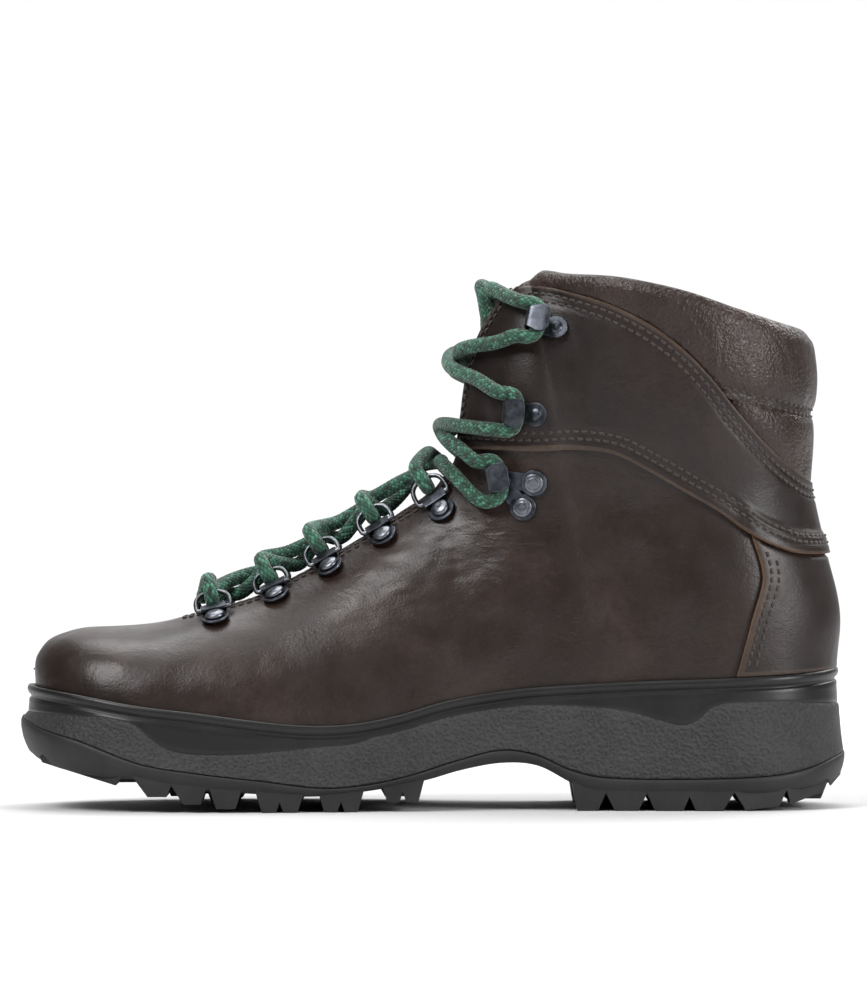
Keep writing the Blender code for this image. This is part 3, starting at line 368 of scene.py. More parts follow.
def rib_square_to(point):
    """Rib whose section, square to the front of the upper, holds a point."""
    def ahead(v):
        here = skin(v, 0, 1)
        tangent = skin(v + 0.05, 0, 1) - skin(v - 0.05, 0, 1)
        return (here.x - point.x) * tangent.x + (here.z - point.z) * tangent.z
    return bisect(ahead, 6.0, 17.0)


def draped(start, end, lifts):
    """Points between two others, laid over the front of the upper at the given lifts."""
    points = []
    for k, lift in enumerate(lifts, 1):
        place = start.lerp(end, k / (len(lifts) + 1))
        points.append(above_front(rib_square_to(place), place.y - spine(place.x), lift))
    return points


def tongue_depth(v, y):
    """Depth of the tongue's face below the upper's outer face."""
    middle = height(TONGUE_DEPTH, v)
    edge = max(opening(v), 11.5)
    return middle + (TONGUE_EDGE_DEPTH - middle) * ramp(edge - 8.0, edge - 0.5, abs(y))


def tongue_half_width(v):
    return 14 + 5 * ramp(5.5, 9, v)


def ring_turn(frame, downwards):
    """Lace points through one D-ring: a half turn round its outer wire, by way of the window."""
    pose = frame @ Matrix.Translation((0, 0, BARREL_HEIGHT)) @ Matrix.Rotation(RING_TILT, 4, "X")
    radius = LACE_RADIUS + WIRE_RADIUS + 0.3
    points = [Vector((0, RING_REACH + 3.6, -radius))]
    for degrees in range(-90, 91, 30):
        angle = math.radians(degrees)
        points.append(Vector((0, RING_REACH - radius * math.cos(angle), radius * math.sin(angle))))
    points.append(Vector((0, RING_REACH + 3.6, radius)))
    points = [pose @ p for p in points]
    return points[::-1] if downwards else points


def hook_turn(frame, neck):
    """Lace points round a hook's neck, under its lip, from its lower side to its upper one."""
    radius = neck / 2 + LACE_RADIUS + 0.7
    level = 1.5 + LACE_RADIUS + 0.1
    back = 2.1 - LACE_RADIUS - 0.5
    half = [(radius, 6.5), (radius, 2.4), (radius * 0.9, 0.0), (radius * 0.5, back - 0.5)]
    points = half + [(0, back - 0.6)] + [(-x, y) for x, y in reversed(half)]
    points = [frame @ Vector((x, y, level)) for x, y in points]
    rising = points[-1].z > points[0].z
    return points if rising else points[::-1]


def half_route(rings, hooks, side, lift):
    """Lace route of one end, from the lowest bar to where the end is tucked away.

    The end crosses to the other side between each pair of fittings; lift is its height over
    the front of the upper where it meets the other end.
    """
    route = ring_turn(rings[(1, side)], True)
    here = side
    for number, crossing_rib in ((2, 6.62), (3, 7.95), (4, 8.95), (5, 9.95)):
        route.append(above_front(crossing_rib, 0, lift))
        here = -here
        route += ring_turn(rings[(number, here)], False)
    middle = above_front(11.65, 0, lift)
    route.append(middle)
    for number, neck, crossing_rib, low, high in ((1, 8.0, 12.72, 4.4, 6.8),
                                                  (2, HOOK_NECK, 14.3, 6.7, 6.7),
                                                  (3, HOOK_NECK, 15.9, 6.7, 6.7)):
        here = -here
        turn = hook_turn(hooks[(number, here)], neck)
        route += draped(middle, turn[0], (max(lift, low), low))
        route += turn
        middle = above_front(crossing_rib, 0, lift)
        route += draped(turn[-1], middle, (high, max(lift, high)))
        route.append(middle)
    here = -here
    route += [above_front(15.62, here * 4.6, 0.9), above_front(15.3, here * 7.0, -1.7),
              above_front(14.95, here * 10.5, -5.2), above_front(14.55, here * 14.0, -6.2)]
    return route


def curve_through(knots, longest, most_turn):
    """Points of the smooth curve through the knots (centripetal Catmull-Rom), one for each
    stretch that is `longest` long or turns by `most_turn`, whichever comes first."""
    knots = [2 * knots[0] - knots[1]] + knots + [2 * knots[-1] - knots[-2]]
    samples = []
    for a, b, c, d in zip(knots, knots[1:], knots[2:], knots[3:]):
        t0 = 0.0
        t1 = t0 + max((b - a).length, 1e-6) ** 0.5
        t2 = t1 + max((c - b).length, 1e-6) ** 0.5
        t3 = t2 + max((d - c).length, 1e-6) ** 0.5
        for k in range(12):
            t = t1 + (t2 - t1) * k / 12
            ab = a.lerp(b, (t - t0) / (t1 - t0))
            bc = b.lerp(c, (t - t1) / (t2 - t1))
            cd = c.lerp(d, (t - t2) / (t3 - t2))
            abc = ab.lerp(bc, (t - t0) / (t2 - t0))
            bcd = bc.lerp(cd, (t - t1) / (t3 - t1))
            samples.append(abc.lerp(bcd, (t - t1) / (t2 - t1)))
    samples.append(knots[-2])
    points = [samples[0]]
    walked = 0.0
    turned_by = 0.0
    for previous, point, following in zip(samples, samples[1:], samples[2:]):
        walked += (point - previous).length
        turned_by += (point - previous).angle(following - point, 0.0)
        if walked >= longest or turned_by >= most_turn:
            points.append(point)
            walked = 0.0
            turned_by = 0.0
    if (points[-1] - samples[-1]).length < 1.5:
        points.pop()
    points.append(samples[-1])
    return points


def lace_route(rings, hooks):
    """The whole lace, from one tucked end to the other."""
    bar = [above_front(6.0, y, 5.2) for y in (5.0, 0, -5.0)]
    inner = half_route(rings, hooks, -1, 7.4)
    outer = half_route(rings, hooks, 1, 1.7)
    return outer[::-1] + bar + inner


# Materials --------------------------------------------------------------------------------------
class Nodes:
    """Short hand for building one procedural material."""

    def __init__(self, name):
        self.material = bpy.data.materials.new(name)
        self.material.use_nodes = True
        self.tree = self.material.node_tree
        self.shader = self.tree.nodes["Principled BSDF"]
        self.where = self.add("ShaderNodeTexCoord").outputs["Object"]

    def add(self, kind, **values):
        node = self.tree.nodes.new(kind)
        for key, value in values.items():
            setattr(node, key, value)
        return node

    def link(self, source, target):
        self.tree.links.new(source, target)

    def scaled(self, factors):
        """The object's coordinates, stretched differently along each axis."""
        node = self.add("ShaderNodeMapping")
        node.inputs["Scale"].default_value = factors
        self.link(self.where, node.inputs["Vector"])
        return node.outputs["Vector"]

    def noise(self, scale, detail=3.0, roughness=0.5, distortion=0.0, vector=None):
        node = self.add("ShaderNodeTexNoise")
        node.inputs["Scale"].default_value = scale
        node.inputs["Detail"].default_value = detail
        node.inputs["Roughness"].default_value = roughness
        node.inputs["Distortion"].default_value = distortion
        self.link(vector or self.where, node.inputs["Vector"])
        return node.outputs["Fac"]

    def cells(self, scale, feature="F1"):
        node = self.add("ShaderNodeTexVoronoi", feature=feature)
        node.inputs["Scale"].default_value = scale
        self.link(self.where, node.inputs["Vector"])
        return node.outputs["Distance"]

    def remap(self, value, low, high, to_low, to_high):
        node = self.add("ShaderNodeMapRange")
        node.inputs["From Min"].default_value = low
        node.inputs["From Max"].default_value = high
        node.inputs["To Min"].default_value = to_low
        node.inputs["To Max"].default_value = to_high
        self.link(value, node.inputs["Value"])
        return node.outputs["Result"]

    def sum(self, first, second, operation="ADD"):
        node = self.add("ShaderNodeMath", operation=operation)
        for socket, value in zip(node.inputs, (first, second)):
            if isinstance(value, (int, float)):
                socket.default_value = value
            else:
                self.link(value, socket)
        return node.outputs["Value"]

    def colours(self, value, stops):
        node = self.add("ShaderNodeValToRGB")
        ramp_ = node.color_ramp
        while len(ramp_.elements) < len(stops):
            ramp_.elements.new(0.5)
        for element, (place, colour) in zip(ramp_.elements, stops):
            element.position = place
            element.color = (*colour, 1)
        self.link(value, node.inputs["Fac"])
        return node.outputs["Color"]

    def bump(self, value, depth_mm, before=None):
        node = self.add("ShaderNodeBump")
        node.inputs["Strength"].default_value = 1.0
        node.inputs["Distance"].default_value = depth_mm * MM
        self.link(value, node.inputs["Height"])
        if before:
            self.link(before, node.inputs["Normal"])
        return node.outputs["Normal"]

    def finish(self, colour, roughness, normal=None, **inputs):
        for socket, value in (("Base Color", colour), ("Roughness", roughness)):
            if isinstance(value, tuple):
                self.shader.inputs[socket].default_value = (*value, 1)
            elif isinstance(value, (int, float)):
                self.shader.inputs[socket].default_value = value
            else:
                self.link(value, self.shader.inputs[socket])
        if normal:
            self.link(normal, self.shader.inputs["Normal"])
        for key, value in inputs.items():
            self.shader.inputs[key.replace("_", " ")].default_value = value
        return self.material


def leather_material(name, dark, middle, light, rough, pores_mm, creases_mm, flexed=()):
    """Full-grain leather: cloudy dye, fine pores, a few creases and an oiled, uneven gloss.

    flexed lists places (x, z, radius in mm) where fine creases fan out, as where a foot bends.
    """
    n = Nodes(name)
    cloud = n.noise(26, 5, 0.6, 0.4)
    fine = n.noise(420, 4, 0.65)
    tone = n.sum(cloud, n.sum(fine, 0.35, "MULTIPLY"))
    colour = n.colours(tone, [(0.42, dark), (0.66, middle), (0.92, light)])
    pores = n.cells(1150)
    grain = n.noise(760, 5, 0.7)
    surface = n.sum(n.sum(pores, 0.6, "MULTIPLY"), grain)
    creased = n.remap(n.noise(34, 3, 0.55, 1.4, n.scaled((1.0, 1.0, 2.2))), 0.46, 0.5, 0.0, 1.0)
    ripple = n.remap(n.noise(70, 4, 0.6, 0.8), 0.35, 0.65, 0.0, 1.0)
    normal = n.bump(ripple, creases_mm * 0.5)
    normal = n.bump(creased, creases_mm * 0.16, normal)
    for x, z, radius in flexed:
        flat = n.add("ShaderNodeVectorMath", operation="MULTIPLY")
        flat.inputs[1].default_value = (1, 0, 1)
        n.link(n.where, flat.inputs[0])
        gone = n.add("ShaderNodeVectorMath", operation="DISTANCE")
        gone.inputs[1].default_value = (x * MM, 0, z * MM)
        n.link(flat.outputs["Vector"], gone.inputs[0])
        share = n.remap(gone.outputs["Value"], radius * MM * 0.3, radius * MM, 1.0, 0.0)
        lines = n.remap(n.noise(190, 2, 0.5, 0.5, n.scaled((0.45, 0.6, 1.7))), 0.4, 0.6, 0, 1)
        normal = n.bump(n.sum(lines, share, "MULTIPLY"), 0.07, normal)
    normal = n.bump(surface, pores_mm, normal)
    gloss = n.remap(n.noise(58, 4, 0.6), 0.3, 0.7, rough - 0.07, rough + 0.1)
    return n.finish(colour, gloss, normal, Specular_IOR_Level=0.42)


def pebbled_leather(name, dark, light, rough):
    """Softer grained leather of the collar, with a visible pebble."""
    n = Nodes(name)
    colour = n.colours(n.noise(30, 5, 0.6), [(0.35, dark), (0.7, light)])
    pebble = n.sum(n.cells(780), n.sum(n.cells(1700), 0.5, "MULTIPLY"))
    wrinkle = n.remap(n.noise(60, 4, 0.6, 1.0, n.scaled((1.6, 1.6, 0.8))), 0.3, 0.7, 0.0, 1.0)
    normal = n.bump(wrinkle, 0.4)
    normal = n.bump(pebble, 0.2, normal)
    gloss = n.remap(n.noise(300, 3), 0.3, 0.7, rough - 0.06, rough + 0.1)
    return n.finish(colour, gloss, normal, Specular_IOR_Level=0.4)


def raw_edge(name, dark, light):
    """Cut edge of leather, lighter and fibrous."""
    n = Nodes(name)
    colour = n.colours(n.noise(700, 4, 0.7), [(0.3, dark), (0.7, light)])
    return n.finish(colour, 0.85, n.bump(n.noise(1500, 4, 0.7), 0.12))


def cloth_material(name, dark, light, weave_mm):
    """Brushed knit or felt: fine weave, fuzz and a soft sheen."""
    n = Nodes(name)
    scale = 1000 / weave_mm
    colour = n.colours(n.noise(scale * 0.6, 3, 0.6), [(0.35, dark), (0.65, light)])
    weave = n.sum(n.cells(scale), n.noise(scale * 2, 3, 0.7))
    return n.finish(colour, 0.9, n.bump(weave, weave_mm * 0.25), Sheen_Weight=0.3)


def rubber_material(name, dark, light, rough, grain_scale, grain_mm):
    """Moulded rubber with a pebble of the given size, painted shade in its hollows, painted light
    on its tops and dull gloss.
    """
    n = Nodes(name)
    pebble = n.cells(grain_scale, "SMOOTH_F1")
    fine = n.noise(grain_scale * 2.2, 4, 0.7)
    pebble_height = n.sum(pebble, n.sum(fine, 0.4, "MULTIPLY"))
    # Painted light and shade: the colour is lighter on the pebble's high places and darker in its
    # hollows, more so for a larger grain_mm.
    tone = n.sum(n.noise(40, 5, 0.65), n.sum(pebble_height, grain_mm * 0.9, "MULTIPLY"))
    colour = n.colours(n.sum(tone, grain_mm * 0.35, "SUBTRACT"), [(0.3, dark), (0.75, light)])
    normal = n.bump(n.noise(30, 3), 0.35)
    normal = n.bump(pebble_height, grain_mm, normal)
    gloss = n.remap(fine, 0.3, 0.7, rough - 0.08, rough + 0.08)
    return n.finish(colour, gloss, normal, Specular_IOR_Level=0.35)


def metal_material(name, dark, light, rough):
    """Blackened steel: patchy oxide, fine brushing and brighter rubbed places."""
    n = Nodes(name)
    patch = n.noise(260, 4, 0.65)
    colour = n.colours(patch, [(0.35, dark), (0.7, light)])
    brushed = n.noise(900, 3, 0.6, 0.0, n.scaled((1.0, 4.0, 4.0)))
    gloss = n.remap(n.noise(500, 4, 0.7), 0.3, 0.7, rough - 0.08, rough + 0.14)
    return n.finish(colour, gloss, n.bump(brushed, 0.02), Metallic=1.0)


def plain_moulded(name, dark, light, rough, grain):
    """Hidden stiffeners and boards: pressed fibre or thermoplastic."""
    n = Nodes(name)
    colour = n.colours(n.noise(grain, 5, 0.7), [(0.35, dark), (0.65, light)])
    return n.finish(colour, rough, n.bump(n.noise(grain * 3, 4, 0.7), 0.08))


def thread_material(name, dark, light):
    """Waxed thread, with the fine lay of its fibres."""
    n = Nodes(name)
    twist = n.noise(1600, 2, 0.5, 0.5, n.scaled((1.0, 1.0, 1.6)))
    colour = n.colours(twist, [(0.35, dark), (0.65, light)])
    return n.finish(colour, 0.6, n.bump(twist, 0.1), Sheen_Weight=0.2)


def braid_material(name):
    """Round braid: UV counts carriers, so that each whole number is one crossing of yarns, with
    painted shade in the gaps between them.
    """
    n = Nodes(name)
    uv = n.add("ShaderNodeUVMap", uv_map="braid")
    split = n.add("ShaderNodeSeparateXYZ")
    n.link(uv.outputs["UV"], split.inputs["Vector"])
    up = n.sum(split.outputs["X"], split.outputs["Y"])
    down = n.sum(split.outputs["X"], split.outputs["Y"], "SUBTRACT")
    swell_up = n.sum(n.sum(n.sum(up, math.pi, "MULTIPLY"), 0, "SINE"), 0, "ABSOLUTE")
    swell_down = n.sum(n.sum(n.sum(down, math.pi, "MULTIPLY"), 0, "SINE"), 0, "ABSOLUTE")
    cell = n.sum(swell_up, swell_down, "MULTIPLY")
    which = n.add("ShaderNodeCombineXYZ")
    n.link(n.sum(up, 0, "FLOOR"), which.inputs["X"])
    n.link(n.sum(down, 0, "FLOOR"), which.inputs["Y"])
    chance = n.add("ShaderNodeTexWhiteNoise", noise_dimensions="2D")
    n.link(which.outputs["Vector"], chance.inputs["Vector"])
    yarn = n.colours(chance.outputs["Value"],
                     [(0.0, (0.002, 0.012, 0.008)), (0.24, (0.005, 0.052, 0.029)),
                      (0.6, (0.011, 0.096, 0.054)), (0.92, (0.055, 0.22, 0.14))])
    fibre = n.noise(2600, 3, 0.6, 0.0, n.scaled((1.0, 1.0, 0.5)))
    # Painted shade: the yarn's colour is darkened, down to 0.12 of it, in the gaps between
    # crossings.
    gap_shade = n.remap(cell, 0.0, 0.55, 0.25, 1.0)
    shaded_yarn = n.add("ShaderNodeMix", data_type="RGBA", blend_type="MULTIPLY")
    shaded_yarn.inputs[0].default_value = 1.0
    n.link(yarn, shaded_yarn.inputs[6])
    n.link(n.colours(gap_shade, [(0.0, (0.12, 0.12, 0.12)), (1.0, (1.0, 1.0, 1.0))]),
           shaded_yarn.inputs[7])
    normal = n.bump(cell, 0.28)
    normal = n.bump(fibre, 0.06, normal)
    return n.finish(shaded_yarn.outputs[2], 0.72, normal, Sheen_Weight=0.25)


def floor_material():
    n = Nodes("studio_floor")
    colour = n.colours(n.noise(1.2, 2), [(0.3, (0.66, 0.66, 0.66)), (0.7, (0.68, 0.68, 0.68))])
    return n.finish(colour, 0.9)


BROWN = leather_material("oiled_leather", (0.0094, 0.0049, 0.0036), (0.0168, 0.0089, 0.0066),
                         (0.034, 0.0192, 0.0143), 0.36, 0.06, 0.15,
                         ((30, 97, 24), (6, 104, 12)))
WORN = leather_material("worn_leather_edge", (0.018, 0.0105, 0.007), (0.040, 0.024, 0.016),
                        (0.080, 0.050, 0.033), 0.45, 0.07, 0.1)
PANEL = leather_material("panel_leather", (0.0066, 0.0034, 0.0026), (0.011, 0.0057, 0.0044),
                         (0.022, 0.0122, 0.0095), 0.40, 0.06, 0.12)
COLLAR = pebbled_leather("collar_leather", (0.015, 0.0082, 0.0062), (0.036, 0.0202, 0.0155), 0.36)
TONGUE = pebbled_leather("tongue_leather", (0.022, 0.0135, 0.0105), (0.050, 0.031, 0.024), 0.48)
EDGE = raw_edge("leather_edge", (0.075, 0.040, 0.022), (0.19, 0.11, 0.062))
DARK_EDGE = raw_edge("dyed_edge", (0.022, 0.0125, 0.009), (0.055, 0.032, 0.021))
LINING_CLOTH = cloth_material("lining_cloth", (0.010, 0.008, 0.0075), (0.026, 0.020, 0.017), 0.9)
FELT = cloth_material("footbed_felt", (0.022, 0.022, 0.024), (0.055, 0.055, 0.06), 1.2)
THREAD = thread_material("brown_thread", (0.009, 0.0055, 0.004), (0.040, 0.024, 0.016))
RUBBER = rubber_material("lug_rubber", (0.010, 0.010, 0.0103), (0.026, 0.026, 0.027), 0.55, 700,
                         0.06)
PEBBLED = rubber_material("pebbled_midsole", (0.013, 0.013, 0.0137), (0.030, 0.030, 0.0315), 0.5,
                          860, 0.6)
SMOOTH = rubber_material("smooth_midsole", (0.008, 0.008, 0.0084), (0.015, 0.015, 0.0158), 0.36,
                         500, 0.02)
STEEL = metal_material("blackened_steel", (0.042, 0.047, 0.058), (0.12, 0.13, 0.15), 0.34)
BRIGHT = metal_material("worn_ring_steel", (0.085, 0.09, 0.10), (0.21, 0.22, 0.235), 0.32)
PEWTER = metal_material("pewter", (0.10, 0.107, 0.125), (0.24, 0.25, 0.28), 0.33)
SPRING = metal_material("shank_steel", (0.3, 0.3, 0.3), (0.55, 0.55, 0.55), 0.35)
BOARD = plain_moulded("insole_board", (0.25, 0.17, 0.10), (0.42, 0.31, 0.2), 0.85, 240)
STIFF = plain_moulded("stiffener", (0.35, 0.31, 0.25), (0.55, 0.5, 0.42), 0.8, 180)
BRAID = braid_material("braided_lace")


# Building pieces --------------------------------------------------------------------------------
def evened(v, high, low, rows):
    """Values of s from high to low on rib v, closer together where the face turns."""
    count = 30
    values = [high + (low - high) * k / count for k in range(count + 1)]
    spots = [skin(v, s, 1) for s in values]
    costs = [0.0]
    for k in range(count):
        step = spots[k + 1] - spots[k]
        turn = step.angle(spots[k + 2] - spots[k + 1], 0.0) if k < count - 1 else 0.0
        costs.append(costs[-1] + step.length + TURN_COST * turn)
    chosen = []
    k = 0
    for row in range(rows + 1):
        wanted = costs[-1] * row / rows
        while k < count - 1 and costs[k + 1] < wanted:
            k += 1
        share = (wanted - costs[k]) / max(costs[k + 1] - costs[k], 1e-6)
        chosen.append(values[k] + (values[k + 1] - values[k]) * min(share, 1))
    return chosen


def put(name, data):
    """Object for a mesh, a light or a camera, linked to the scene."""
    obj = bpy.data.objects.new(name, data)
    bpy.context.scene.collection.objects.link(obj)
    return obj


def riding(obj, body, replaces=()):
    """Make an object ride on a body, in place of CAD nodes."""
    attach(obj, body)
    if replaces:
        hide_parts(*replaces)
    return obj


def mesh_from(name, bm):
    """Mesh with its faces turned outwards, from a bmesh that isn't needed any more."""
    bmesh.ops.recalc_face_normals(bm, faces=bm.faces)
    mesh = bpy.data.meshes.new(name)
    bm.to_mesh(mesh)
    bm.free()
    return mesh


def merge(bm, other):
    """Add the second bmesh to the first."""
    mesh = bpy.data.meshes.new("merged")
    other.to_mesh(mesh)
    other.free()
    bm.from_mesh(mesh)
    bpy.data.meshes.remove(mesh)


def distinct(verts):
    """The corners of a face without repeats."""
    corners = []
    for vert in verts:
        if vert not in corners:
            corners.append(vert)
    return corners


def add_block(bm, corners):
    """Add a block from four corners of one end and the four of the other."""
    verts = [bm.verts.new(corner) for corner in corners]
    for face in ((0, 3, 2, 1), (4, 5, 6, 7), (0, 1, 5, 4), (1, 2, 6, 5), (2, 3, 7, 6),
                 (3, 0, 4, 7)):
        bm.faces.new([verts[i] for i in face])


def piece(name, verts, faces, materials, body, replaces=(), indices=None):
    """Mesh object from points in millimetres, riding on a body."""
    mesh = bpy.data.meshes.new(name)
    mesh.from_pydata([tuple(Vector(v) * MM) for v in verts], [], faces)
    for material in materials:
        mesh.materials.append(material)
    if indices:
        mesh.polygons.foreach_set("material_index", indices)
    mesh.shade_smooth()
    mesh.update()
    return riding(put(name, mesh), body, replaces)


def bevelled(obj, width_mm, segments, angle):
    bevel = obj.modifiers.new("bevel", "BEVEL")
    bevel.width = width_mm * MM
    bevel.segments = segments
    bevel.limit_method = "ANGLE"
    bevel.angle_limit = math.radians(angle)


def dense(ribs, step):
    """More ribs between the given ones, at most a step apart."""
    values = [ribs[0]]
    for a, b in zip(ribs, ribs[1:]):
        count = max(1, math.ceil((b - a) / step - 1e-6))
        values += [a + (b - a) * k / count for k in range(1, count + 1)]
    return values


def no_relief(point, s):
    return 0.0


def shell(name, ribs, rows, top, foot, outer, thickness, materials, replaces=(),
          relief=no_relief, edge_round=0.4, back_relief=no_relief, warp=lambda v, s: v):
    """Fine sheet over both sides of the upper, the same way as the CAD sheet is made.

    The outer face takes the first material, the inner one the second and the rim the third. A
    fourth is for the worn strips beside its edges. warp moves a point to another rib.
    """
    verts, faces, indices = [], [], []
    places = [(v, evened(v, top(v), foot(v), rows)) for v in ribs]
    last = len(ribs) - 1
    grids = {}
    seen = {}

    def add(point):
        key = (round(point.x, 2), round(point.y, 2), round(point.z, 2))
        if key not in seen:
            seen[key] = len(verts)
            verts.append(point)
        return seen[key]

    for side in (1, -1):
        front, back = [], []
        for v, row in places:
            line, under = [], []
            for s in row:
                base, normal = facing(warp(v, s), s, side)
                line.append(add(base + normal * (outer + relief(base, s))))
                under.append(add(base + normal * (outer - thickness + back_relief(base, s))))
            front.append(line)
            back.append(under)
        grids[side] = (front, back)

    def quads(grid, index):
        for n, (row, following) in enumerate(zip(grid, grid[1:])):
            for i in range(len(row) - 1):
                corners = distinct((row[i], row[i + 1], following[i + 1], following[i]))
                if len(corners) > 2:
                    worn = len(materials) > 3 and len(row) > 2 and index == 0
                    worn = worn and (i in (0, len(row) - 2) or n == 0)
                    faces.append(corners)
                    indices.append(3 if worn else index)

    def same(i, k):
        return grids[1][0][i][k] == grids[-1][0][i][k]

    for front, back in grids.values():
        quads(front, 0)
        quads(back, 1)
        for end in (0, rows):
            for i in range(last):
                if not (same(i, end) and same(i + 1, end)):
                    quads([[front[i][end], front[i + 1][end]], [back[i][end], back[i + 1][end]]],
                          2)
        for end in (0, last):
            if not all(same(end, k) for k in range(rows + 1)):
                quads([front[end], back[end]], 2)
    obj = piece(name, verts, faces, materials, "boot", replaces, indices)
    turn_outwards(obj)
    bevelled(obj, edge_round, 2, 50)


def turn_outwards(obj):
    bm = bmesh.new()
    bm.from_mesh(obj.data)
    bmesh.ops.recalc_face_normals(bm, faces=bm.faces)
    bm.to_mesh(obj.data)
    bm.free()


def near(value, place, width):
    return math.exp(-((value - place) / width) ** 2)


def edge_distance(rows, x, z):
    """Height over an edge curve at x, measured square to the curve."""
    step = 1.5
    slope = (height(rows, x + step) - height(rows, x - step)) / (2 * step)
    return (z - height(rows, x)) / math.sqrt(1 + slope * slope)


def upper_relief(point, s):
    """Soft dents and flex creases of the worn-in leather, and the pull of the lasting below."""
    dents = noise.noise(point * 0.045) * 0.5 + noise.noise(point * 0.11) * 0.22
    flex = near(point.x, 0, 32) * near(point.z, 92, 22)
    creases = noise.noise(Vector((point.x * 0.16, point.y * 0.1, point.z * 0.45))) * flex * 0.55
    foot = max(0.0, 1 - (1 - s) / 0.12)
    return dents * (1 - foot) + creases - 0.35 * foot


def panel_relief(point, s):
    """Rows of stitches pull the overlay down; between them and the edge it stands up."""
    top = edge_distance(PANEL_TOP, point.x, point.z)
    foot = edge_distance(PANEL_FOOT, point.x, point.z)
    pulled = 0.0
    for row in PANEL_TOP_ROWS:
        pulled += near(top, row, 0.9)
    for row in PANEL_FOOT_ROWS:
        pulled += near(foot, row, 0.9)
    return lapped(point, s) - 0.42 * min(pulled, 1.2) + noise.noise(point * 0.06) * 0.3


def lapped(point, s):
    """Rise of the ankle panel's lower edge where it laps over the heel panel."""
    above = edge_distance(PANEL_FOOT, point.x, point.z)
    front = height(HEEL_PANEL_FRONT, point.z)
    return 1.3 * ramp(9.5, 5.5, above) * ramp(front - 5, front - 1, point.x)


def tucked(point, s):
    """Dip of the heel panel's top, where it goes under the ankle panel."""
    return -1.2 * ramp(-1.2, 0.3, edge_distance(PANEL_FOOT, point.x, point.z))


def heel_relief(point, s):
    return tucked(point, s) + noise.noise(point * 0.06) * 0.3


# The upper and its overlays ---------------------------------------------------------------------
UPPER_RIBS = [0, 0.35, 0.8, 1.4, 2.1, 2.9, 3.9, 5.0, 5.3, 5.36, 5.55, 5.9, 6.3, 7, 8, 9, 10, 11,
              12, 13, 14, 15, 16, 17, 18, 19, 20, 21, 22, 22.8, 23.5, 24]


def to_feather(v):
    return 1.0


def under_panel_top(v):
    return max(throat(v), crossing(v, PANEL_TOP) + 0.003 if v > 16 else 0)


def spread(first, last, count):
    return [first + (last - first) * k / count for k in range(count + 1)]


def make_upper():
    shell("upper", dense(UPPER_RIBS, 0.16), 56, under_panel_top, to_feather, 0, LEATHER,
          (BROWN, LINING_CLOTH, DARK_EDGE), ("upper_leather",), upper_relief)
    first = bisect(lambda v: crossing(v, PANEL_FOOT) - throat(v) - 0.03, 11.5, 14.5)
    shell("ankle_overlay", dense([first, 13.3, 14, 15, 16, 17, 18, 20, 22, 24], 0.14), 44,
          lambda v: max(throat(v), crossing(v, PANEL_TOP)),
          lambda v: crossing(v, PANEL_FOOT), OVERLAY_FACE, OVERLAY_SHELL,
          (PANEL, DARK_EDGE, EDGE, WORN), ("ankle_panel",), panel_relief,
          edge_round=0.35, back_relief=lapped)
    shell("heel_overlay", dense([HEEL_FRONT, 24], 0.14), 40,
          lambda v: crossing(v, PANEL_FOOT) - 0.028,
          lambda v: crossing(v, [(x, z + 0.3) for x, z in LIP]),
          OVERLAY_FACE, OVERLAY_SHELL, (PANEL, DARK_EDGE, EDGE, WORN), ("heel_panel",),
          heel_relief, edge_round=0.35, warp=heel_warp)
    shell("inner_lining", dense([0.6, 1.2, 2, 3, 4, 4.5, 4.6, 4.8, 5.1, 6, 8, 10, 12, 14, 16, 17,
                                 17.5, 18, 20, 22, 24], 0.4), 26, lining_top,
          lambda v: crossing(v, [(x, z - 3.4) for x, z in LIP]), LINING_TOP, LINING,
          (LINING_CLOTH, LINING_CLOTH, LINING_CLOTH), ("lining",))


def heel_rib(share):
    """Where the heel panel's front edge crosses a given share of the panel's height."""
    z = height(LIP, 118) + 1.5 + share * 40
    return locate(height(HEEL_PANEL_FRONT, z), z)[0]


HEEL_FRONT = sum(heel_rib(share) for share in (0.0, 0.5, 1.0)) / 3
FRONT_EDGE = sorted(locate(height(HEEL_PANEL_FRONT, z), z)[::-1] for z in range(46, 104, 3))


def heel_warp(v, s):
    """Ribs of the heel panel bend to its cut front edge."""
    shift = height(FRONT_EDGE, s) - HEEL_FRONT
    return v + shift * (24 - v) / (24 - HEEL_FRONT)


def lining_top(v):
    """The lining is open over the tongue, wider than the throat, and joins the collar."""
    if v <= 4.5:
        return 0.0
    reach = (11.5 + 6.5) * math.sqrt(min((v - 4.5) / 0.6, 1))
    if v > 6.3:
        reach = opening(v) + 6.5

    def beyond(s):
        return abs(skin(v, s, 1).y - spine(skin(v, s, 1).x)) - reach
    if v > 19 or beyond(0.0) >= 0:
        return 0.05
    return max(bisect(beyond, 0.0, 0.9), 0.05)


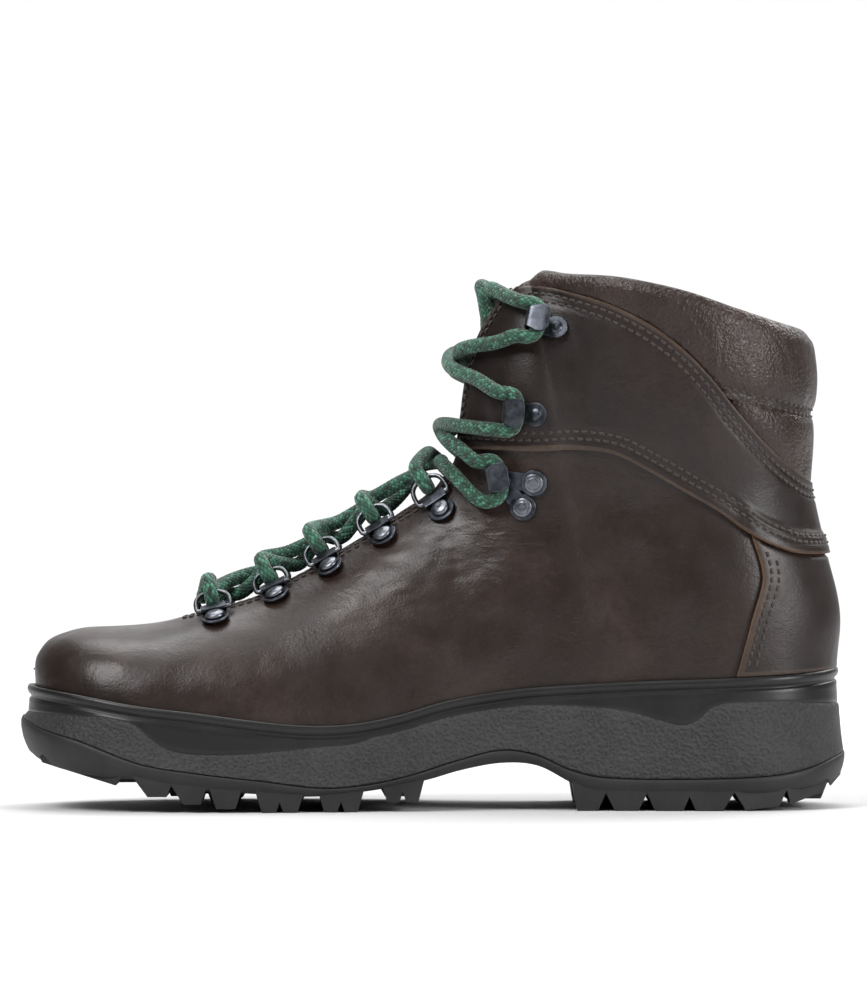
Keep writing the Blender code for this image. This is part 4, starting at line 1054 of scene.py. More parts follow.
# The padded collar ------------------------------------------------------------------------------
def padded_roll(name, ribs, rows, top, foot, replaces, tucks):
    """A stuffed roll: a thin closed pad, blown up by the cloth solver with its seams held.

    tucks gives how far its top and its foot rims are turned outwards, into the seams.
    """
    verts, faces, held = [], [], []
    places = [(v, evened(v, top(v), foot(v), rows)) for v in ribs]
    around = [(v, row, -1) for v, row in places]
    around += [(v, row, 1) for v, row in places[-2::-1]]
    loops = []
    for number, (v, row, side) in enumerate(around):
        end = min(number, len(around) - 1 - number)
        slim = (0.3, 0.6, 0.8, 0.92)[end] if end < 4 else 1.0
        outer, inner = [], []
        count = len(row)
        for k, s in enumerate(row):
            base, normal = facing(v, s, side)
            share = k / (count - 1)
            swell = math.sin(math.pi * (0.02 + 0.96 * share)) ** 0.5 * slim
            middle = -1.1 + (tucks[0] + 1.1) * ramp(0.12, 0.0, share)
            middle += (tucks[1] + 1.1) * ramp(0.86, 1.0, share)
            edge = near(share, 1.0, 0.16) + near(share, 0.0, 0.12)
            gather = noise.noise(Vector((v * 9, side * 3, share * 2))) * edge * 0.7
            gather += noise.noise(base * 0.07) * 0.5 * swell
            outer.append(base + normal * (middle + 2.3 * swell + gather))
            inner.append(base + normal * (middle - 2.1 * swell))
        start = len(verts)
        verts += outer + inner[::-1]
        loops.append([start + k for k in range(2 * count)])
        held += [start, start + count - 1, start + count, start + 2 * count - 1]
    for loop, following in zip(loops, loops[1:]):
        for k in range(len(loop)):
            j = (k + 1) % len(loop)
            faces.append([loop[k], loop[j], following[j], following[k]])
    for loop in (loops[0], loops[-1]):
        half = len(loop) // 2
        for k in range(half - 1):
            faces.append([loop[k], loop[k + 1], loop[-2 - k], loop[-1 - k]])
        held += loop
    obj = piece(name, verts, faces, (COLLAR,), "boot", replaces)
    turn_outwards(obj)
    swell_up(obj, held)
    smooth_level = obj.modifiers.new("smooth", "SUBSURF")
    smooth_level.levels = 1
    smooth_level.render_levels = 1


SOLVER_SCALE = 100          # the cloth solver hardly moves a mesh of this size at true scale
SWELL_FRAMES = 20
SWELL_CAP = 1.5             # the furthest that a point of a pad may move


def swell_up(obj, held):
    """Blow a pad up with Cloth, and keep each point's move under a cap."""
    group = obj.vertex_groups.new(name="held")
    group.add(sorted(set(held)), 1.0, "REPLACE")
    rest = [vert.co.copy() for vert in obj.data.vertices]
    obj.data.transform(Matrix.Scale(SOLVER_SCALE, 4))
    cloth = obj.modifiers.new("cloth", "CLOTH")
    settings = cloth.settings
    settings.quality = 6
    settings.mass = 0.3
    settings.tension_stiffness = 15
    settings.compression_stiffness = 15
    settings.shear_stiffness = 5
    settings.bending_stiffness = 0.5
    settings.use_pressure = True
    settings.uniform_pressure_force = 4
    settings.vertex_group_mass = "held"
    settings.effector_weights.gravity = 0
    cloth.point_cache.frame_start = 1
    cloth.point_cache.frame_end = SWELL_FRAMES
    scene = bpy.context.scene
    for number in range(1, SWELL_FRAMES + 1):
        scene.frame_set(number)
    blown = obj.evaluated_get(bpy.context.evaluated_depsgraph_get()).to_mesh()
    moved = [vert.co / SOLVER_SCALE for vert in blown.vertices]
    obj.evaluated_get(bpy.context.evaluated_depsgraph_get()).to_mesh_clear()
    obj.modifiers.remove(cloth)
    most = 0.0
    for vert, before, after in zip(obj.data.vertices, rest, moved):
        step = after - before
        most = max(most, step.length)
        if step.length > SWELL_CAP * MM:
            step = step.normalized() * SWELL_CAP * MM
        vert.co = before + step
    print(obj.name, "largest move in mm before the cap:", round(most / MM, 2))
    obj.data.update()
    scene.frame_set(1)


def make_collar():
    def room(v):
        return crossing(v, PANEL_TOP) - throat(v) - 0.02
    front = bisect(room, 16.3, 17.4)
    padded_roll("collar_roll", dense([front, 17.2, 18, 20, 22, 24], 0.1), 16, throat,
                lambda v: min(crossing(v, PANEL_TOP) + 0.012, crossing(v, PUFF_SEAM)),
                ("collar_pad",), (-1.1, -0.3))
    low_first = bisect(lambda v: crossing(v, PANEL_TOP) - crossing(v, PUFF_SEAM) - 0.03, 20, 23)
    padded_roll("collar_roll_lower", dense([low_first, 24], 0.1), 10,
                lambda v: crossing(v, PUFF_SEAM), lambda v: crossing(v, PANEL_TOP) + 0.012,
                ("collar_pad_lower",), (-0.6, 0.35))
    shell("collar_seam_tape", dense([low_first - 0.15, 24], 0.14), 6,
          lambda v: crossing(v, shifted(PUFF_SEAM, 2.3)),
          lambda v: crossing(v, shifted(PUFF_SEAM, -2.3)), 0.75, 1.0,
          (COLLAR, DARK_EDGE, EDGE), (), edge_round=0.25)


# The tongue, gussets and footbed ----------------------------------------------------------------
def strip(name, steps, across, more_depth, thickness, materials, body, replaces, relief):
    """Padded strip behind the throat, which follows the front of the upper."""
    verts, faces, indices = [], [], []
    layers = []
    for deeper, share in ((more_depth, 1.0), (more_depth + thickness, 0.3)):
        grid = []
        for v in steps:
            row = []
            for y in across(v):
                rise = relief(v, y) * share
                row.append(len(verts))
                verts.append(above_front(v, y, rise - tongue_depth(v, y) - deeper))
            grid.append(row)
        layers.append(grid)

    def quads(grid, index):
        for row, following in zip(grid, grid[1:]):
            for i in range(len(row) - 1):
                faces.append([row[i], row[i + 1], following[i + 1], following[i]])
                indices.append(index)
    upper, lower = layers
    quads(upper, 0)
    quads(lower, 1)
    for end in (0, -1):
        quads([upper[end], lower[end]], 2)
        quads([[row[end] for row in upper], [row[end] for row in lower]], 2)
    obj = piece(name, verts, faces, materials, body, replaces, indices)
    turn_outwards(obj)
    bevelled(obj, 0.5, 2, 50)


def make_tongue():
    def tongue_across(v):
        return [tongue_half_width(v) * k / 16 for k in range(-16, 17)]

    def channels(v, y):
        """Quilted across, with a flat stitched edge down each side."""
        crown = math.cos(min(abs(y) / 14.0, 1) * math.pi / 2)
        return 0.5 * crown * abs(math.sin(v * math.pi * 1.1)) + noise.noise(
            Vector((v * 3, y * 0.3, 0))) * 0.25

    strip("tongue_pad", spread(5.0, 16.9, 120), tongue_across, 0, TONGUE_THICKNESS,
          (TONGUE, LINING_CLOTH, EDGE), "tongue", ("tongue",), channels)
    for word, sign in (("left", -1), ("right", 1)):
        def gusset_across(v, sign=sign):
            return [sign * (tongue_half_width(v) + 0.7 + 3.3 * k / 6) for k in range(7)]
        strip(f"gusset_fold_{word}", spread(6.9, 14.6, 60), gusset_across, 0.6, 1.0,
              (LINING_CLOTH, LINING_CLOTH, LINING_CLOTH), "boot", (f"gusset_{word}",),
              lambda v, y: 0.25 * math.sin(y * 2.2))


def outline(inset, toe_in, stations, level):
    """Plan loop of the sole: both sides from toe to heel, moved inwards by inset."""
    toe, heel = TOE_X + inset + toe_in, HEEL_X - inset
    xs = [toe + (heel - toe) * (1 - math.cos(math.pi * i / stations)) / 2
          for i in range(stations + 1)]
    left = [Vector((x, spine(x) + half_width(x, inset, toe_in), level(x))) for x in xs]
    right = [Vector((x, spine(x) - half_width(x, inset, toe_in), level(x))) for x in xs]
    return left + right[-2:0:-1]


def layered(name, rings, stations, materials, body, replaces, second_below=0):
    """Closed body from plan rings (inset, toe inset, height over x), capped at both ends.

    The first material covers it, but the rows numbered under second_below take the second.
    """
    verts, faces, indices = [], [], []
    loops = []
    for inset, toe_in, level in rings:
        loop = outline(inset, toe_in, stations, level)
        loops.append([len(verts) + k for k in range(len(loop))])
        verts += loop
    count = len(loops[0])
    for row, (loop, following) in enumerate(zip(loops, loops[1:])):
        for k in range(count):
            j = (k + 1) % count
            faces.append([loop[k], loop[j], following[j], following[k]])
            indices.append(1 if row < second_below else 0)
    for loop in (loops[0], loops[-1]):
        for k in range(stations):
            corners = distinct((loop[k], loop[k + 1], loop[(count - k - 1) % count],
                                loop[(count - k) % count]))
            if len(corners) > 2:
                faces.append(corners)
                indices.append(0)
    turn_outwards(piece(name, verts, faces, materials, body, replaces, indices))


def make_footbed():
    def level(drop):
        return lambda x: height(LIP, x) - drop
    rings = [(13.0, 0, level(3.9)), (12.2, 0, level(3.3)), (12.0, 0, level(1.2)),
             (12.6, 0, level(0.3)), (14.5, 0, level(0.0))]
    layered("footbed_felt", rings, 60, (FELT,), "footbed", ("footbed",))


# The sole ---------------------------------------------------------------------------------------
SMOOTH_BAND = [(-152, 36), (-131, 35), (-111.6, 33.6), (-100.1, 24.9), (-91.4, 21.6),
               (-73.9, 21.1), (-57.5, 22.2), (-41.1, 23.8), (-26.9, 25.4), (-12.3, 32.4),
               (9.9, 37.5), (32, 38.7), (54.3, 38.3), (70.9, 36.5), (82, 33.5), (90.9, 31.3),
               (96.5, 33), (102, 37.9), (109.8, 39.6), (132, 39.6), (153, 38.5)]


def make_midsole():
    """Midsole wall with a beaded lip, a groove under it and a smooth band inlaid above."""
    def lip(drop):
        return lambda x: height(LIP, x) - drop

    def band_top(x):
        return height(LIP, x) - 5.2

    def band_foot(x):
        return min(height(SMOOTH_BAND, x), height(LIP, x) - 6.0)

    def between(share):
        return lambda x: band_top(x) + (band_foot(x) - band_top(x)) * share

    def lower(share):
        def level(x):
            start = band_foot(x) - 0.5
            return start + (height(PARTING, x) + 0.3 - start) * share
        return level

    rings = [(2.3, lip(7.1)), (2.3, lip(3.5)), (2.25, lip(0.9)), (1.9, lip(0.15)),
             (1.2, lip(-0.1)), (0.5, lip(0.0)), (0.1, lip(0.6)), (-0.1, lip(1.4)),
             (0.0, lip(2.3)), (0.4, lip(3.0)), (1.0, lip(3.5)), (1.3, lip(4.0)),
             (1.2, lip(4.5)), (0.7, lip(4.9)), (0.55, between(0.0)), (0.5, between(0.25)),
             (0.4, between(0.5)), (0.3, between(0.75)), (0.25, between(0.94)),
             (0.35, between(1.0)), (-0.15, lower(0.0)), (-0.35, lower(0.06)),
             (-0.5, lower(0.2)), (-0.8, lower(0.4)), (-1.1, lower(0.6)), (-1.5, lower(0.8)),
             (-1.9, lower(0.96)), (-1.9, lower(1.0))]
    smooth_rows = 19            # the lip, the groove and the band, down to the band's foot
    layered("midsole_wall", [(inset, 0, level) for inset, level in rings], 230,
            (PEBBLED, SMOOTH), "boot", ("midsole",), smooth_rows)


def lug_block(bm, x_tip, x_base, z_tip, sign, depth):
    """A tread block at the edge (sign 1 or -1) or across the middle (sign 0).

    z_tip holds the heights of its tip at both ends.
    """
    corners = []
    for xs, level, shrink in ((x_tip, z_tip, 0.6), (x_base, None, 0.0)):
        for end, inner in ((0, 0), (1, 0), (1, 1), (0, 1)):
            x = xs[end]
            edge = half_width(x, -1.2) - shrink
            if sign:
                y = spine(x) + sign * (edge if not inner else edge - depth + 2 * shrink)
            else:
                y = spine(x) + (depth if inner else -depth) * (1 - 0.05 * shrink)
            z = height(TREAD, x) + 1.6 if level is None else level[end]
            corners.append(Vector((x, y, z)) * MM)
    add_block(bm, corners)


def notched_lug(bm, x_tip, x_base, z, sign, depth):
    """A wide tread block with a V cut across its tip."""
    middle = (x_tip[0] + x_tip[1]) / 2
    lug_block(bm, (x_tip[0], middle - 1.3), (x_base[0], middle + 1.5), (z, z), sign, depth)
    lug_block(bm, (middle + 1.3, x_tip[1]), (middle - 1.5, x_base[1]), (z, z), sign, depth)


LUGS = [((-104, -97), (-110, -95), 5.8), ((-91, -84.5), (-96, -82.5), 3.0),
        ((-79, -72), (-81.8, -69.5), 1.4), ((52.6, 60.2), (50.5, 63.6), 0.0),
        ((66.4, 75), (62.4, 78.6), 0.0), ((81, 91.3), (77.8, 94.8), 0.0),
        ((96, 105.9), (92.6, 110.5), 0.0)]
SLOPED_LUGS = [((-143.5, -115.5), (-144.5, -113), (17.6, 9.9)),
               ((114.2, 126.7), (109.5, 129.8), (0.2, 1.5)),
               ((130.8, 143.3), (129.2, 145.2), (2.3, 6.4))]
END_LUG = ((146.4, 151), (145.2, 151.3), (8.3, 12.0))
WIDE_LUGS = [((-62.4, -49.5), (-65, -47), 0.0), ((-39.8, -27.6), (-42, -25), 0.0),
             ((-16.8, -5.5), (-19, -3), 3.4)]
MIDDLE_LUGS = [((-118, -109), (-121, -106), 9.6), ((-97, -90), (-100, -88), 4.4),
               ((-82, -72), (-85, -69.5), 2.0), ((-62, -52), (-65, -49.5), 0.0),
               ((-40, -30), (-43, -27), 0.0), ((-18, -9), (-21, -6), 4.2)]


def make_outsole():
    def rubber_wall(share):
        return lambda x: height(PARTING, x) * (1 - share) + height(TREAD, x) * share
    rings = [(-1.9, 0, rubber_wall(0)), (-2.2, 0, rubber_wall(0.03)), (-2.45, 0, rubber_wall(0.12)),
             (-2.4, 0, rubber_wall(0.3)), (-1.9, 0.2, rubber_wall(0.55)),
             (-1.2, 0.5, rubber_wall(0.75)), (-0.6, 1.0, rubber_wall(0.92)),
             (0.2, 2.2, rubber_wall(1))]
    layered("outsole_wall", rings, 200, (RUBBER,), "boot", ("outsole",))
    bm = bmesh.new()
    for sign in (1, -1):
        for lug in SLOPED_LUGS:
            lug_block(bm, *lug, sign, 20.0)
        lug_block(bm, *END_LUG, sign, 7.0)
        for tip, base, z in LUGS:
            lug_block(bm, tip, base, (z, z), sign, 20.0 if tip[0] < -100 else 24.0)
        for tip, base, z in WIDE_LUGS:
            notched_lug(bm, tip, base, z, sign, 24.0)
    for tip, base, z in MIDDLE_LUGS:
        lug_block(bm, tip, base, (z, z), 0, 17.0)
    for tip, base in (((60, 70), (58, 72)), ((86, 96), (84, 98))):
        lug_block(bm, tip, base, (0.0, 0.0), 0, 9.0)
    lug_block(bm, (130, 143), (128, 146), (3.6, 3.6), 0, 21.0)
    mesh = mesh_from("lugs", bm)
    mesh.materials.append(RUBBER)
    bevelled(riding(put("lugs", mesh), "boot"), 0.7, 3, 30)


# Stitching --------------------------------------------------------------------------------------
def seam_points(places, side, lift, relief=no_relief):
    """Points on the face of the upper for (v, s) places, with their normals."""
    points = []
    for v, s in places:
        base, normal = facing(v, s, side)
        points.append((base + normal * (lift + relief(base, s)), normal))
    return points


def add_stitch(bm, start, end, normal, radius):
    """One stitch: a thread that rises out of its hole, lies flat and dips into the next."""
    way = end - start
    length = way.length
    way.normalize()
    side = normal.cross(way).normalized()
    rings = []
    for share, lift, size in ((0.0, -0.75, 0.55), (0.06, -0.1, 0.85), (0.2, 0.22, 1.0),
                              (0.5, 0.3, 1.0), (0.8, 0.22, 1.0), (0.94, -0.1, 0.85),
                              (1.0, -0.75, 0.55)):
        centre = start + way * (length * share) + normal * lift
        ring = []
        for k in range(8):
            angle = 2 * math.pi * k / 8
            reach = side * math.cos(angle) + normal * math.sin(angle) * 0.75
            ring.append(bm.verts.new((centre + reach * radius * size) * MM))
        rings.append(ring)
    for ring, following in zip(rings, rings[1:]):
        for k in range(8):
            j = (k + 1) % 8
            bm.faces.new((ring[k], ring[j], following[j], following[k]))
    bm.faces.new(rings[0][::-1])
    bm.faces.new(rings[-1])


STITCH_PITCH = 3.2
STITCH_GAP = 0.75           # between the ends of two stitches
THREAD_RADIUS = 0.52


def stitch_row(bm, line):
    """Stitches along a line of (point, normal) pairs."""
    walked = [0.0]
    for (a, _), (b, _) in zip(line, line[1:]):
        walked.append(walked[-1] + (b - a).length)

    def at(distance):
        k = 0
        while k < len(walked) - 2 and walked[k + 1] < distance:
            k += 1
        share = (distance - walked[k]) / max(walked[k + 1] - walked[k], 1e-6)
        share = min(max(share, 0), 1)
        return (line[k][0].lerp(line[k + 1][0], share), line[k][1].lerp(line[k + 1][1], share))
    for number in range(int(walked[-1] / STITCH_PITCH)):
        first = number * STITCH_PITCH + STITCH_GAP / 2
        start, normal = at(first)
        end, _ = at(first + STITCH_PITCH - STITCH_GAP)
        add_stitch(bm, start, end, normal.normalized(), THREAD_RADIUS)


def stitches(name, lines):
    """Piece of thread for all the rows of stitches in one part of the boot."""
    bm = bmesh.new()
    for line in lines:
        stitch_row(bm, line)
    mesh = mesh_from(name, bm)
    mesh.shade_smooth()
    mesh.materials.append(THREAD)
    riding(put(name, mesh), "boot")


def shifted(rows, distance):
    """Side-view edge curve moved square to itself, upwards for a positive distance."""
    moved = []
    for before, here, after in zip([rows[0]] + rows[:-1], rows, rows[1:] + [rows[-1]]):
        way = Vector((after[0] - before[0], after[1] - before[1])).normalized()
        moved.append((here[0] - way.y * distance, here[1] + way.x * distance))
    return moved


def edge_row(curve, distance, first, last, side, lift, relief=no_relief,
             from_s=lambda v: 0.0):
    """Row of places along an edge curve of a panel, a distance above (or below) it."""
    line = shifted(curve, distance)
    steps = int((last - first) / 0.06)
    places = []
    for k in range(steps + 1):
        v = first + (last - first) * k / steps
        s = crossing(v, line)
        if s > from_s(v) + 0.002 and s < 0.999:
            places.append((v, s))
    return seam_points(places, side, lift, relief)


def make_stitching():
    face = OVERLAY_FACE
    first = bisect(lambda v: crossing(v, PANEL_FOOT) - throat(v) - 0.03, 11.5, 14.5)
    panel, heel, seam, throat_rows = [], [], [], []
    for side in (-1, 1):
        for distance in PANEL_TOP_ROWS:
            panel.append(edge_row(PANEL_TOP, distance, 16.4, 24, side, face, panel_relief, throat))
        for distance in PANEL_FOOT_ROWS:
            panel.append(edge_row(PANEL_FOOT, distance, first + 0.3, 24, side, face, panel_relief,
                                  throat))
        for distance in PUFF_SEAM_ROWS:
            seam.append(edge_row(PUFF_SEAM, distance, 20.6, 24, side, 0.75))
        for back in HEEL_PANEL_ROWS:
            line = []
            for k in range(26):
                z = 52.5 + (99.5 - 52.5) * k / 25 - 0.09 * back * k / 25 * 10
                v, s = locate(height(HEEL_PANEL_FRONT, z) + back, z)
                line.append((v, s))
            heel.append(seam_points(line, side, face, heel_relief))
        for back in THROAT_ROWS:
            line = []
            for k in range(60):
                v = 5.42 + (12.3 - 5.42) * k / 59
                line.append((v, beside_throat(v, back)))
            throat_rows.append(seam_points(line, side, 0.0, upper_relief))
            line = []
            for k in range(40):
                v = first + 0.5 + (16.7 - first - 0.5) * k / 39
                line.append((v, beside_throat(v, back)))
            panel.append(seam_points(line, side, face, panel_relief))
    stitches("panel_stitching", panel)
    stitches("heel_stitching", heel)
    stitches("collar_stitching", seam)
    stitches("facing_stitching", throat_rows)


def beside_throat(v, distance):
    """Where rib v lies a distance outside the throat's edge."""
    start = skin(v, throat(v), 1)

    def gone(s):
        return (skin(v, s, 1) - start).length - distance
    return bisect(gone, throat(v), min(throat(v) + 0.5, 1.0))


# Lace hardware ----------------------------------------------------------------------------------
def hardware(name, bm, material, frame_, body, replaces, bevel=0.0):
    """Object from a bmesh in millimetres, placed by a fitting's frame."""
    mesh = mesh_from(name, bm)
    mesh.transform(frame_)
    mesh.transform(Matrix.Scale(MM, 4))
    mesh.shade_smooth()
    mesh.materials.append(material)
    obj = put(name, mesh)
    if bevel:
        bevelled(obj, bevel, 3, 32)
    normals = obj.modifiers.new("normals", "WEIGHTED_NORMAL")
    normals.keep_sharp = True
    riding(obj, body, replaces)


def spun(bm, profile, steps, centre=(0.0, 0.0)):
    """Add the turned body of a closed profile (radius, height) that starts and ends at 0."""
    rings = []
    for radius, z in profile:
        if radius < 1e-6:
            rings.append([bm.verts.new((centre[0], centre[1], z))])
        else:
            rings.append([bm.verts.new((centre[0] + radius * math.cos(2 * math.pi * k / steps),
                                        centre[1] + radius * math.sin(2 * math.pi * k / steps),
                                        z)) for k in range(steps)])
    for ring, following in zip(rings, rings[1:]):
        for k in range(steps):
            j = (k + 1) % steps
            corners = distinct((ring[k % len(ring)], ring[j % len(ring)],
                                following[j % len(following)], following[k % len(following)]))
            if len(corners) > 2:
                bm.faces.new(corners)


def swept(bm, points, widths, thickness):
    """Folded strap: a bent strip along points in the Y-Z plane with its width along X."""
    rows = []
    count = len(points)
    for k, ((y, z), width) in enumerate(zip(points, widths)):
        before = points[max(k - 1, 0)]
        after = points[min(k + 1, count - 1)]
        way = Vector((after[0] - before[0], after[1] - before[1])).normalized()
        normal = Vector((-way.y, way.x)) * thickness / 2
        half = width / 2
        rows.append([bm.verts.new((-half, y + normal.x, z + normal.y)),
                     bm.verts.new((half, y + normal.x, z + normal.y)),
                     bm.verts.new((half, y - normal.x, z - normal.y)),
                     bm.verts.new((-half, y - normal.x, z - normal.y))])
    for row, following in zip(rows, rows[1:]):
        for k in range(4):
            j = (k + 1) % 4
            bm.faces.new((row[k], row[j], following[j], following[k]))
    bm.faces.new(rows[0][::-1])
    bm.faces.new(rows[-1])


def wire(bm, points, radius):
    """Closed loop of round wire."""
    steps = 14
    count = len(points)
    rings = []
    for k, point in enumerate(points):
        way = (points[(k + 1) % count] - points[k - 1]).normalized()
        out = Vector((0, 0, 1))
        side = out.cross(way).normalized()
        rings.append([bm.verts.new(point + (side * math.cos(2 * math.pi * j / steps)
                                            + out * math.sin(2 * math.pi * j / steps)) * radius)
                      for j in range(steps)])
    for k in range(count):
        ring, following = rings[k], rings[(k + 1) % count]
        for j in range(steps):
            i = (j + 1) % steps
            bm.faces.new((ring[j], ring[i], following[i], following[j]))


def ring_outline():
    """Smooth loop of a D-ring: straight side on X, round outer side at RING_REACH."""
    half = [(0.0, 0.0), (3.0, 0.0), (5.5, 0), (6.15, 0.45), (6.4, 1.3), (6.3, 4.0), (5.4, 6.4),
            (3.2, 8.0), (0, RING_REACH)]
    knots = [Vector((x, y, 0)) for x, y in half] + [Vector((-x, y, 0)) for x, y in half[-2:0:-1]]
    count = len(knots)
    loop = []
    for k in range(count):
        a, b, c, d = (knots[(k + j) % count] for j in (-1, 0, 1, 2))
        for step in range(6):
            u = step / 6
            loop.append(0.5 * ((2 * b) + (c - a) * u + (2 * a - 5 * b + 4 * c - d) * u * u
                               + (3 * b - a - 3 * c + d) * u ** 3))
    return loop


def dome(radius, low, rise, lip, recess=0.16):
    """Rivet head: domed, with a pressed ring in its crown and a rolled edge."""
    profile = [(0, low + rise * 0.93), (radius * 0.25, low + rise * 0.95)]
    for k in range(13):
        share = 0.34 + 0.6 * k / 12
        z = low + lip + (rise - lip) * math.sqrt(max(1 - share ** 2.2, 0))
        dip = recess * near(share, 0.62, 0.05)
        profile.append((radius * share, z - dip))
    profile += [(radius * 0.985, low + lip * 1.2), (radius, low + lip * 0.7),
                (radius * 0.99, low + 0.1), (radius * 0.95, low), (0, low)]
    return profile


def arc(centre, radius, start, end, steps):
    return [(centre[0] + radius * math.cos(math.radians(start + (end - start) * k / steps)),
             centre[1] + radius * math.sin(math.radians(start + (end - start) * k / steps)))
            for k in range(steps + 1)]


def clip_body():
    """Clip stamped from one strap: round-bottomed plate, flat neck and a rolled barrel."""
    bm = bmesh.new()
    spun(bm, [(0, 1.25), (4.9, 1.3), (5.15, 1.2), (5.25, 0.9), (5.2, 0.5), (5.0, 0.35),
              (0, 0.35)], 48, (0, -5.6))
    path = [(-5.0, 1.0), (-3.6, 1.0), (-2.4, 0.95), (-1.2, 0.72), (0.0, 0.62)]
    path += arc((0, BARREL_HEIGHT), 1.42, -60, 97, 16)
    path += [(-1.2, 3.74), (-2.2, 3.7), (-3.0, 3.66), (-3.5, 3.58)]
    widths = [9.0] * 3 + [9.4] * (len(path) - 6) + [9.3, 9.1, 8.7]
    swept(bm, path, widths, 0.62)
    for end in (-1, 1):
        pad = bmesh.new()
        spun(pad, [(0, 0.25), (1.0, 0.25), (1.12, 0.12), (1.12, 0.0), (0, 0.0)], 20)
        bmesh.ops.rotate(pad, verts=pad.verts, cent=(0, 0, 0),
                         matrix=Matrix.Rotation(math.pi / 2 * end, 3, "Y"))
        bmesh.ops.translate(pad, verts=pad.verts, vec=(4.45 * end, 0, BARREL_HEIGHT))
        merge(bm, pad)
    return bm


def make_d_rings():
    frames = {}
    for side, word in ((-1, "inner"), (1, "outer")):
        for number, (x, z, tilt) in enumerate(D_RINGS, 1):
            place = fitting_frame(x, z, tilt, side)
            frames[(number, side)] = place
            tag = f"{word}_{number}"
            hardware(f"clip_{tag}", clip_body(), STEEL, place, "boot", (f"d_clip_{tag}",),
                     0.14)
            bm = bmesh.new()
            spun(bm, dome(3.65, 1.6, 1.9, 0.5, recess=0.02), 40)
            hardware(f"rivet_{tag}", bm, PEWTER,
                     place @ Matrix.Translation((0, -RIVET_DROP, 0)), "boot",
                     (f"d_rivet_{tag}",))
            bm = bmesh.new()
            wire(bm, ring_outline(), WIRE_RADIUS)
            pose = Matrix.Translation((0, 0, BARREL_HEIGHT)) @ Matrix.Rotation(RING_TILT, 4, "X")
            hardware(f"ring_{tag}", bm, BRIGHT, place @ pose, f"ring_{tag}",
                     (f"d_ring_{tag}",))
    return frames


def hook_body(neck, lip_width, back):
    """Hook bent from one strap: foot on the leather, neck up and lip back over the lace."""
    bm = bmesh.new()
    path = [(-back, 0.85), (-back * 0.5, 0.85), (0.0, 0.85), (1.6, 0.9)]
    path += arc((1.5, 2.4), 1.5, -70, 0, 7)[1:]
    path = path[:4] + [(2.45, 1.35), (2.75, 1.9), (2.8, 2.6), (2.8, 4.4), (2.8, 6.2),
                       (2.65, 7.0), (2.25, 7.6), (1.6, 7.9), (0.6, 8.0), (-1.5, 7.98),
                       (-3.6, 7.95), (-4.9, 7.85), (-5.7, 7.5)]
    widths = []
    for y, z in path:
        if z < 7.2:
            widths.append(neck if z > 1.2 or y > 0 else neck * 1.04)
        else:
            reach = min(max((2.6 - y) / 4.0, 0), 1)
            tip = math.sqrt(max(1 - max((-3.0 - y) / 3.2, 0) ** 2, 0.12))
            widths.append((neck + (lip_width - neck) * reach) * tip)
    swept(bm, path, widths, 0.95)
    return bm


def make_hooks():
    frames = {}
    for side, word in ((-1, "inner"), (1, "outer")):
        for number, (x, z, tilt, lean) in enumerate(SPEED_HOOKS, 2):
            place = fitting_frame(x, z, tilt, side)
            place = place @ Matrix.Translation((0, 0, OVERLAY_FACE + 0.6))
            place = place @ Matrix.Rotation(math.radians(lean), 4, "X")
            frames[(number, side)] = place
            bm = hook_body(HOOK_NECK, 10.6, 7.0)
            spun(bm, [(0, 1.28), (4.1, 1.32), (4.35, 1.2), (4.42, 0.9), (4.35, 0.5), (4.2, 0.4),
                      (0, 0.4)], 44, (0, -7.4))
            spun(bm, [(0, 2.25), (0.9, 2.22), (1.9, 1.95), (2.35, 1.6), (2.4, 1.25), (0, 1.2)],
                 32, (0, -7.6))
            hardware(f"upper_hook_{word}_{number - 1}", bm, STEEL, place, "boot",
                     (f"speed_hook_{word}_{number - 1}",), 0.16)
        place = fitting_frame(*ANKLE_HOOK, side) @ Matrix.Translation((0, 0, 0.4))
        frames[(1, side)] = place
        bm = hook_body(8.0, 11.0, 3.0)
        for k, (x, z) in enumerate(ANKLE_RIVETS, 1):
            spot = fitting_frame(x, z, 90, side)
            there = place.inverted() @ spot
            lobe = bmesh.new()
            spun(lobe, [(0, 1.55), (4.6, 1.6), (4.85, 1.45), (4.9, 1.15), (4.8, 0.75),
                        (0, 0.7)], 44)
            lobe.transform(there)
            merge(bm, lobe)
            spot_at = there.translation
            step = Vector((-spot_at.y, spot_at.x, 0)).normalized() * 3.2
            corners = [step, -step, spot_at - step, spot_at + step]
            add_block(bm, [p + Vector((0, 0, h)) for h in (0.85, 1.5) for p in corners])
            head = bmesh.new()
            spun(head, dome(3.55, 2.0, 1.1, 0.5), 40)
            hardware(f"ankle_stud_{word}_{k}", head, PEWTER, spot, "boot",
                     (f"ankle_rivet_{word}_{k}",))
        hardware(f"lower_hook_{word}", bm, STEEL, place, "boot", (f"ankle_hook_{word}",),
                 0.16)
    return frames


# The lace ---------------------------------------------------------------------------------------
def even_steps(points, step):
    """Points a fixed step apart along a line of points."""
    walked = [0.0]
    for a, b in zip(points, points[1:]):
        walked.append(walked[-1] + (b - a).length)
    total = walked[-1]
    count = int(total / step)
    result = []
    k = 0
    for number in range(count + 1):
        wanted = total * number / count
        while k < len(walked) - 2 and walked[k + 1] < wanted:
            k += 1
        share = (wanted - walked[k]) / max(walked[k + 1] - walked[k], 1e-9)
        result.append(points[k].lerp(points[k + 1], min(max(share, 0), 1)))
    return result, total


def rounded(points, rounds):
    """Soften the bends of a line, with both ends kept."""
    for _ in range(rounds):
        points = [points[0]] + [(a + 2 * b + c) / 4 for a, b, c in
                                zip(points, points[1:], points[2:])] + [points[-1]]
    return points


